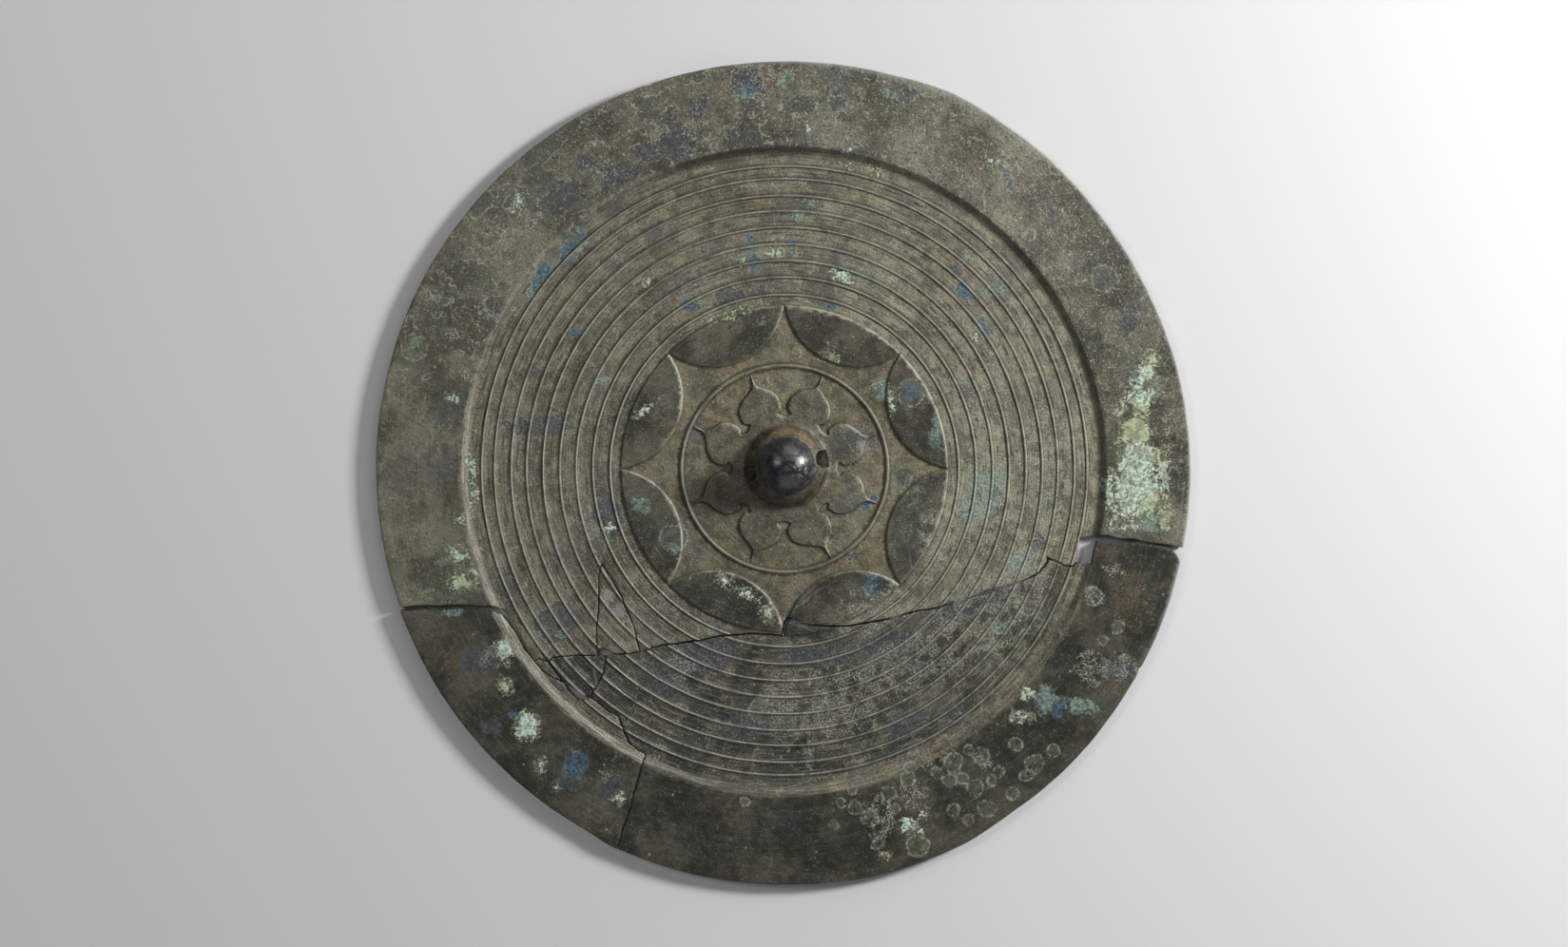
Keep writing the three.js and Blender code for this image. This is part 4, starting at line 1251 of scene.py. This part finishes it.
    # Pale crumbs, and the thick mint crust with its dense hearts, sallow parts and gaps
    crumbs = stain("pale", 0.7, 0.9, 0.30, 0.80, (0.220, 0.225, 0.175), (0.480, 0.480, 0.385),
                   p.eased(speck, 0.49, 0.56) * p.eased(mottle, 0.41, 0.54))
    stain("mint", 1.0, 0.9, 0.40, 0.60, (0.060, 0.066, 0.036), (0.270, 0.290, 0.150))
    crust = stain("mint", 0.30, 1.25, 0.12, 0.95, (0.180, 0.270, 0.205), (0.740, 0.845, 0.680))
    heart = p.eased(p.value("mint") + flecks * 0.35, 0.74, 0.92) * p.value("dense")
    p.paint(heart * 0.85, p.mixed(p.eased(flecks, -0.30, 0.30), (0.270, 0.400, 0.330), (0.740, 0.860, 0.740)))
    p.paint(crust * p.eased(third_clouds, 0.46, 0.60) * 0.7, (0.410, 0.440, 0.220))
    gaps = crust * p.eased(p.noise(4.0, 3.0, 0.7), 0.53, 0.46)
    wide_gaps = crust * p.eased(p.noise(11.0, 4.0, 0.65, (0.3, 0.3, 0.8)), 0.43, 0.37)
    gaps = p.calc("MAXIMUM", gaps, wide_gaps) * (1.0 - heart)
    p.paint(gaps * 0.85, (0.105, 0.085, 0.042))

    # Ridges and edges with wear and painted highlights, dark lines at their feet, and painted shade in the
    # breaks
    # Painted highlight with wear on the crests
    p.paint(p.value("crest_wear_and_highlight") * p.eased(mottle, 0.36, 0.52, 0.40, 0.95), (0.500, 0.480, 0.390))
    # Painted highlight with wear on the lamp-facing edges, and the worn step lip
    p.paint(p.value("worn") * p.eased(mottle, 0.40, 0.56, 0.15, 0.85), (0.470, 0.450, 0.350))
    # Painted highlight with wear on the cast edge facing the lamp
    p.paint(p.value("edge_wear_and_highlight") * 0.65, (0.360, 0.370, 0.340))
    p.paint(p.value("foot") * 0.90, (0.024, 0.022, 0.015))
    # Painted shade in the narrow breaks: a dark band along each break's edge and on its walls
    p.paint(p.eased(p.value("from_break"), 0.0003, 0.0, 0.0, 0.90), (0.012, 0.011, 0.009))
    p.paint(p.value("break_wall_shade") * 0.95, (0.012, 0.011, 0.009))
    # Painted shadow below the rim step and beside the knob
    p.paint(p.value("painted_shadow"), (0.022, 0.020, 0.014))

    # Painted highlight on the step faces at the lower left that look towards the lamp, with streaks. The knob
    # is glossy blue-black above an ochre skirt, with painted shade in the cord hole and painted sheen on its
    # scuffs
    step_streaks = p.eased(streaks + flecks * 0.12, 0.42, 0.60)
    p.paint(p.value("lit_step_highlight") * 0.85, p.mixed(step_streaks, (0.120, 0.112, 0.080), (0.370, 0.352, 0.272)))
    p.paint(p.value("skirt") * 0.85,
            p.mixed(p.eased(mottle, 0.38, 0.62), (0.020, 0.018, 0.012), (0.078, 0.068, 0.042)))
    p.paint(p.value("ochre") * p.eased(mottle, 0.42, 0.54, 0.15, 0.85),
            p.mixed(p.eased(flecks, -0.3, 0.3), (0.090, 0.062, 0.024), (0.280, 0.215, 0.115)))
    # Painted shade inside the cord hole, dark brown
    cord_hole_shade = p.value("cord_hole_shade")
    p.paint(cord_hole_shade, p.mixed(p.eased(mottle, 0.44, 0.64), (0.011, 0.009, 0.006), (0.078, 0.056, 0.030)))
    dome = p.value("dome") * (1.0 - cord_hole_shade)
    dome_tint = p.mixed(p.eased(mottle, 0.44, 0.66), (0.017, 0.020, 0.023), (0.062, 0.067, 0.068))
    # Grey scuffs on the dome's right, brightened as a painted sheen on the side towards the lamp
    scuff_and_sheen = p.eased(p.noise(3.2, 4.0, 0.75), 0.48, 0.62) * p.value("dome_scuffs_and_sheen")
    p.paint(dome, p.mixed(scuff_and_sheen * 0.7, dome_tint, (0.210, 0.200, 0.170)))

    rough = p.eased(mottle, 0.35, 0.65, 0.44, 0.62) - polish * 0.10
    rough = rough + p.calc("MAXIMUM", crust, crumbs) * 0.30
    dome_rough = p.eased(mottle, 0.40, 0.65, 0.25, 0.36) + scuff_and_sheen * 0.25
    height = (grain * 0.00060 + mottle * 0.00080) * p.eased(p.value("polish"), 0.2, 0.9, 1.0, 0.45)
    height = height + crust * 0.00045 + streaks * (turning * 0.00022)
    bump = p.node("ShaderNodeBump", {"Height": height * (1.0 - dome * 0.9), "Strength": 0.8, "Distance": 1.0})
    surface = p.tree.nodes["Principled BSDF"]
    surface.inputs["Metallic"].default_value = 0.12
    for name, value in (
        ("Base Color", p.colour), ("Roughness", rough * (1.0 - dome) + dome_rough * dome), ("Normal", bump),
        ("Specular IOR Level", 0.55 + dome * 0.40),
    ):
        p.tree.links.new(value.socket, surface.inputs[name])
    return material


bronze = old_bronze()
upper = fragment("upper", [
    *LEFT_BREAK_UPPER_SIDE, *SPLINTER_HEAD, *RING_PIECE_TOP[:3], *TRIANGLE_LEFT[::-1], *TRIANGLE_RIGHT[::-1],
    *LONG_BREAK[1:], *RIGHT_BREAK_UPPER_SIDE, (250, 250), (-250, 250),
], slip=(0.0, 0.0), seed=1)

# The cord hole is cast right through the knob, a low arch in section, its walls uneven
HOLE_WIDTH = 10.0
HOLE_HEIGHT = 9.4
HOLE_SILL = FIELD_THICKNESS + 1.2
HOLE_TURN = 11.4
HOLE_LENGTH = 60.0
HOLE_ROWS = 40


def hole_former():
    """The body that the cord hole is cut out with."""
    half = HOLE_WIDTH / 2.0
    spring = HOLE_HEIGHT - half
    profile = [(-half, 0.0), (-half / 2, 0.0), (0.0, 0.0), (half / 2, 0.0), (half, 0.0), (half, spring / 2)]
    profile += [(half * math.cos(a), spring + half * math.sin(a)) for a in np.linspace(0.0, math.pi, 13)]
    profile.append((-half, spring / 2))
    turn = math.radians(HOLE_TURN)
    points = []
    for row in range(HOLE_ROWS + 1):
        x = (row / HOLE_ROWS - 0.5) * HOLE_LENGTH
        for number, (side, up) in enumerate(profile):
            swell = 1.0 + 0.035 * math.sin(x * 0.9 + number * 1.3) + 0.02 * math.sin(x * 2.1 + number * 2.9)
            y = side * swell
            points.append((
                (KNOB_CENTRE[0] + x * math.cos(turn) - y * math.sin(turn)) * MM,
                (KNOB_CENTRE[1] + x * math.sin(turn) + y * math.cos(turn)) * MM,
                (HOLE_SILL + up * swell) * MM,
            ))
    count = len(profile)
    faces = [tuple(range(count))[::-1], tuple(range(HOLE_ROWS * count, HOLE_ROWS * count + count))]
    for start in range(0, HOLE_ROWS * count, count):
        for i in range(count):
            a, b = start + i, start + (i + 1) % count
            faces.append((a, b, b + count, a + count))
    mesh = bpy.data.meshes.new("hole_former")
    mesh.from_pydata(points, [], faces)
    # Marks the hole's walls for the painted shade inside it
    store(mesh, "cord_hole_shade", np.ones(len(points)))
    mesh.materials.append(bronze)
    former = bpy.data.objects.new("hole_former", mesh)
    bpy.context.scene.collection.objects.link(former)
    return former


former = hole_former()
cut = upper.modifiers.new("cord hole", "BOOLEAN")
cut.operation = "DIFFERENCE"
cut.solver = "MANIFOLD"
cut.object = former
applied(upper, cut)
bpy.data.objects.remove(former)

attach(upper, "root")
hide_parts("upper_fragment")

# The left rim fragment.
# A length of the cast bronze rim that cracked off at the lower left. It lies loose on its reflecting
# face, slipped 2.6 mm down from where it belongs, and its step is painted light, as lit by the lamp.

LEFT_BREAK_LOWER_SIDE = [
    (-250, -80.3), (-208, -79.9), (-186.5, -79.3), (-165.3, -80.3), (-160.4, -82.6), (-154.6, -91.2),
    (-149, -100.2),
]
SPLINTER_OUTER_SIDE = [(-137.8, -114.9), (-133, -118.3), (-126, -121.7)]
OPEN_NOTCH = [(-122.8, -126.6), (-118.6, -130.4), (-114.5, -131.2)]
BOTTOM_BREAK = [
    (-110.9, -129.7), (-99.9, -138.3), (-94.4, -141.1), (-90.9, -150.7), (-88.8, -155.6), (-83.3, -160.4),
    (-79.2, -162), (-82, -171.9), (-85.8, -184), (-87.3, -193.1), (-91.9, -205.2), (-94.9, -215.8),
    (-100, -250),
]
left_rim = fragment("left_rim", [
    *LEFT_BREAK_LOWER_SIDE, SPLINTER_HEAD[0], *SPLINTER_OUTER_SIDE, *OPEN_NOTCH, *BOTTOM_BREAK, (-250, -250),
], slip=(0.3, -2.6), seed=2)
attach(left_rim, "root")
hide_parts("left_rim_fragment")

# The lower fragment.
# The lower third of the cast bronze disc, rim and ridged field together, darker and smoother than the
# rest. It lies loose on its reflecting face, a chip short at the right.

RING_PIECE_RIGHT = [(-101.9, -109.4), (-103.3, -116.3), (-106.7, -123.8), (-110.9, -129.7)]
TRIANGLE_FOOT = [(-103.9, -102), (-98.5, -105.3), (-89.4, -105.2)]
RIGHT_BREAK_LOWER_SIDE = [
    (174.3, -53.8), (177, -40.7), (201.1, -41.7), (212, -43.5), (221.9, -46.2), (226, -53.1), (250, -60),
]
lower = fragment("lower", [
    *BOTTOM_BREAK[::-1], *RING_PIECE_RIGHT[2::-1], RING_PIECE_TOP[3], TRIANGLE_FOOT[2],
    *LONG_BREAK, *RIGHT_BREAK_LOWER_SIDE, (250, -250),
], slip=(-0.4, -2.0), seed=3)
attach(lower, "root")
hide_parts("lower_fragment")

# The triangle fragment.
# A long three-sided piece of the ridged field of cast bronze, cracked out at the left of the long
# break. It lies loose in its place.

triangle = fragment("triangle", [*TRIANGLE_LEFT, *TRIANGLE_FOOT, *TRIANGLE_RIGHT], slip=(0.0, 0.0), seed=4)
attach(triangle, "root")
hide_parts("triangle_fragment")

# The ring fragment.
# A small four-sided piece of the ridged field of cast bronze, between the triangle and the left rim
# fragment. It lies loose, hardly moved.

RING_PIECE_OUTER_SIDE = [(-115.7, -129.3), (-121.2, -125.2)]
SPLINTER_INNER_SIDE = [(-130.2, -116.3)]
ring_piece = fragment("ring_piece", [
    SPLINTER_HEAD[2], *RING_PIECE_TOP, *RING_PIECE_RIGHT, *RING_PIECE_OUTER_SIDE, SPLINTER_OUTER_SIDE[2],
    *SPLINTER_INNER_SIDE,
], slip=(0.3, -0.5), seed=5)
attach(ring_piece, "root")
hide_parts("ring_fragment")

# The splinter.
# A thin sliver of cast bronze that cracked off between the ring fragment and the left rim fragment. It
# lies loose in the gap.

SPLINTER_TAIL = [(-127.5, -119.7), (-128.2, -120.8)]
splinter = fragment("splinter", [
    *SPLINTER_HEAD, *SPLINTER_INNER_SIDE, *SPLINTER_TAIL, *SPLINTER_OUTER_SIDE[1::-1],
], slip=(0.1, -0.6), seed=6)
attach(splinter, "root")
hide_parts("sliver_fragment")

# The floor, the light and the camera.
# A plain pale floor stands in for the gallery's. One hard lamp throws the edge's shadow, three wide ones
# fill it, and the camera looks straight down.

floor_mesh = bpy.data.meshes.new("floor")
floor_mesh.from_pydata([(-3, -3, 0), (3, -3, 0), (3, 3, 0), (-3, 3, 0)], [], [(0, 1, 2, 3)])
floor = bpy.data.objects.new("floor", floor_mesh)
bpy.context.scene.collection.objects.link(floor)
paper = bpy.data.materials.new("pale_floor")
paper.use_nodes = True
paper_inputs = paper.node_tree.nodes["Principled BSDF"].inputs
paper_inputs["Base Color"].default_value = (0.78, 0.775, 0.785, 1.0)
paper_inputs["Roughness"].default_value = 0.9
floor_mesh.materials.append(paper)


def softbox(name, azimuth, elevation, distance, size, power):
    lamp = bpy.data.lights.new(name, "AREA")
    lamp.shape = "SQUARE"
    lamp.size = size
    lamp.energy = power
    holder = bpy.data.objects.new(name, lamp)
    a, e = math.radians(azimuth), math.radians(elevation)
    place = Vector((math.cos(e) * math.cos(a), math.cos(e) * math.sin(a), math.sin(e))) * distance
    holder.location = place
    holder.rotation_euler = place.to_track_quat("Z", "Y").to_euler()
    bpy.context.scene.collection.objects.link(holder)


softbox("key", 21, 26, 1.8, 0.35, 36.0)
softbox("back", 74, 27, 2.0, 1.7, 10.0)
softbox("left", 155, 52, 2.4, 0.7, 7.0)
softbox("front", 275, 30, 2.4, 2.6, 10.5)

world = bpy.data.worlds.new("soft_room")
world.use_nodes = True
world.node_tree.nodes["Background"].inputs["Color"].default_value = (0.8, 0.8, 0.82, 1.0)
world.node_tree.nodes["Background"].inputs["Strength"].default_value = 0.06
bpy.context.scene.world = world

CAMERA_HEIGHT = 2.0
FRAME_WIDTH = 0.8916
camera = bpy.data.cameras.new("camera")
camera.sensor_width = 36.0
camera.lens = 36.0 * (CAMERA_HEIGHT - RIM_THICKNESS * MM) / FRAME_WIDTH
viewpoint = bpy.data.objects.new("camera", camera)
viewpoint.location = (-0.0003, -0.0027, CAMERA_HEIGHT)
bpy.context.scene.collection.objects.link(viewpoint)
bpy.context.scene.camera = viewpoint
bpy.context.scene.view_settings.view_transform = "Standard"
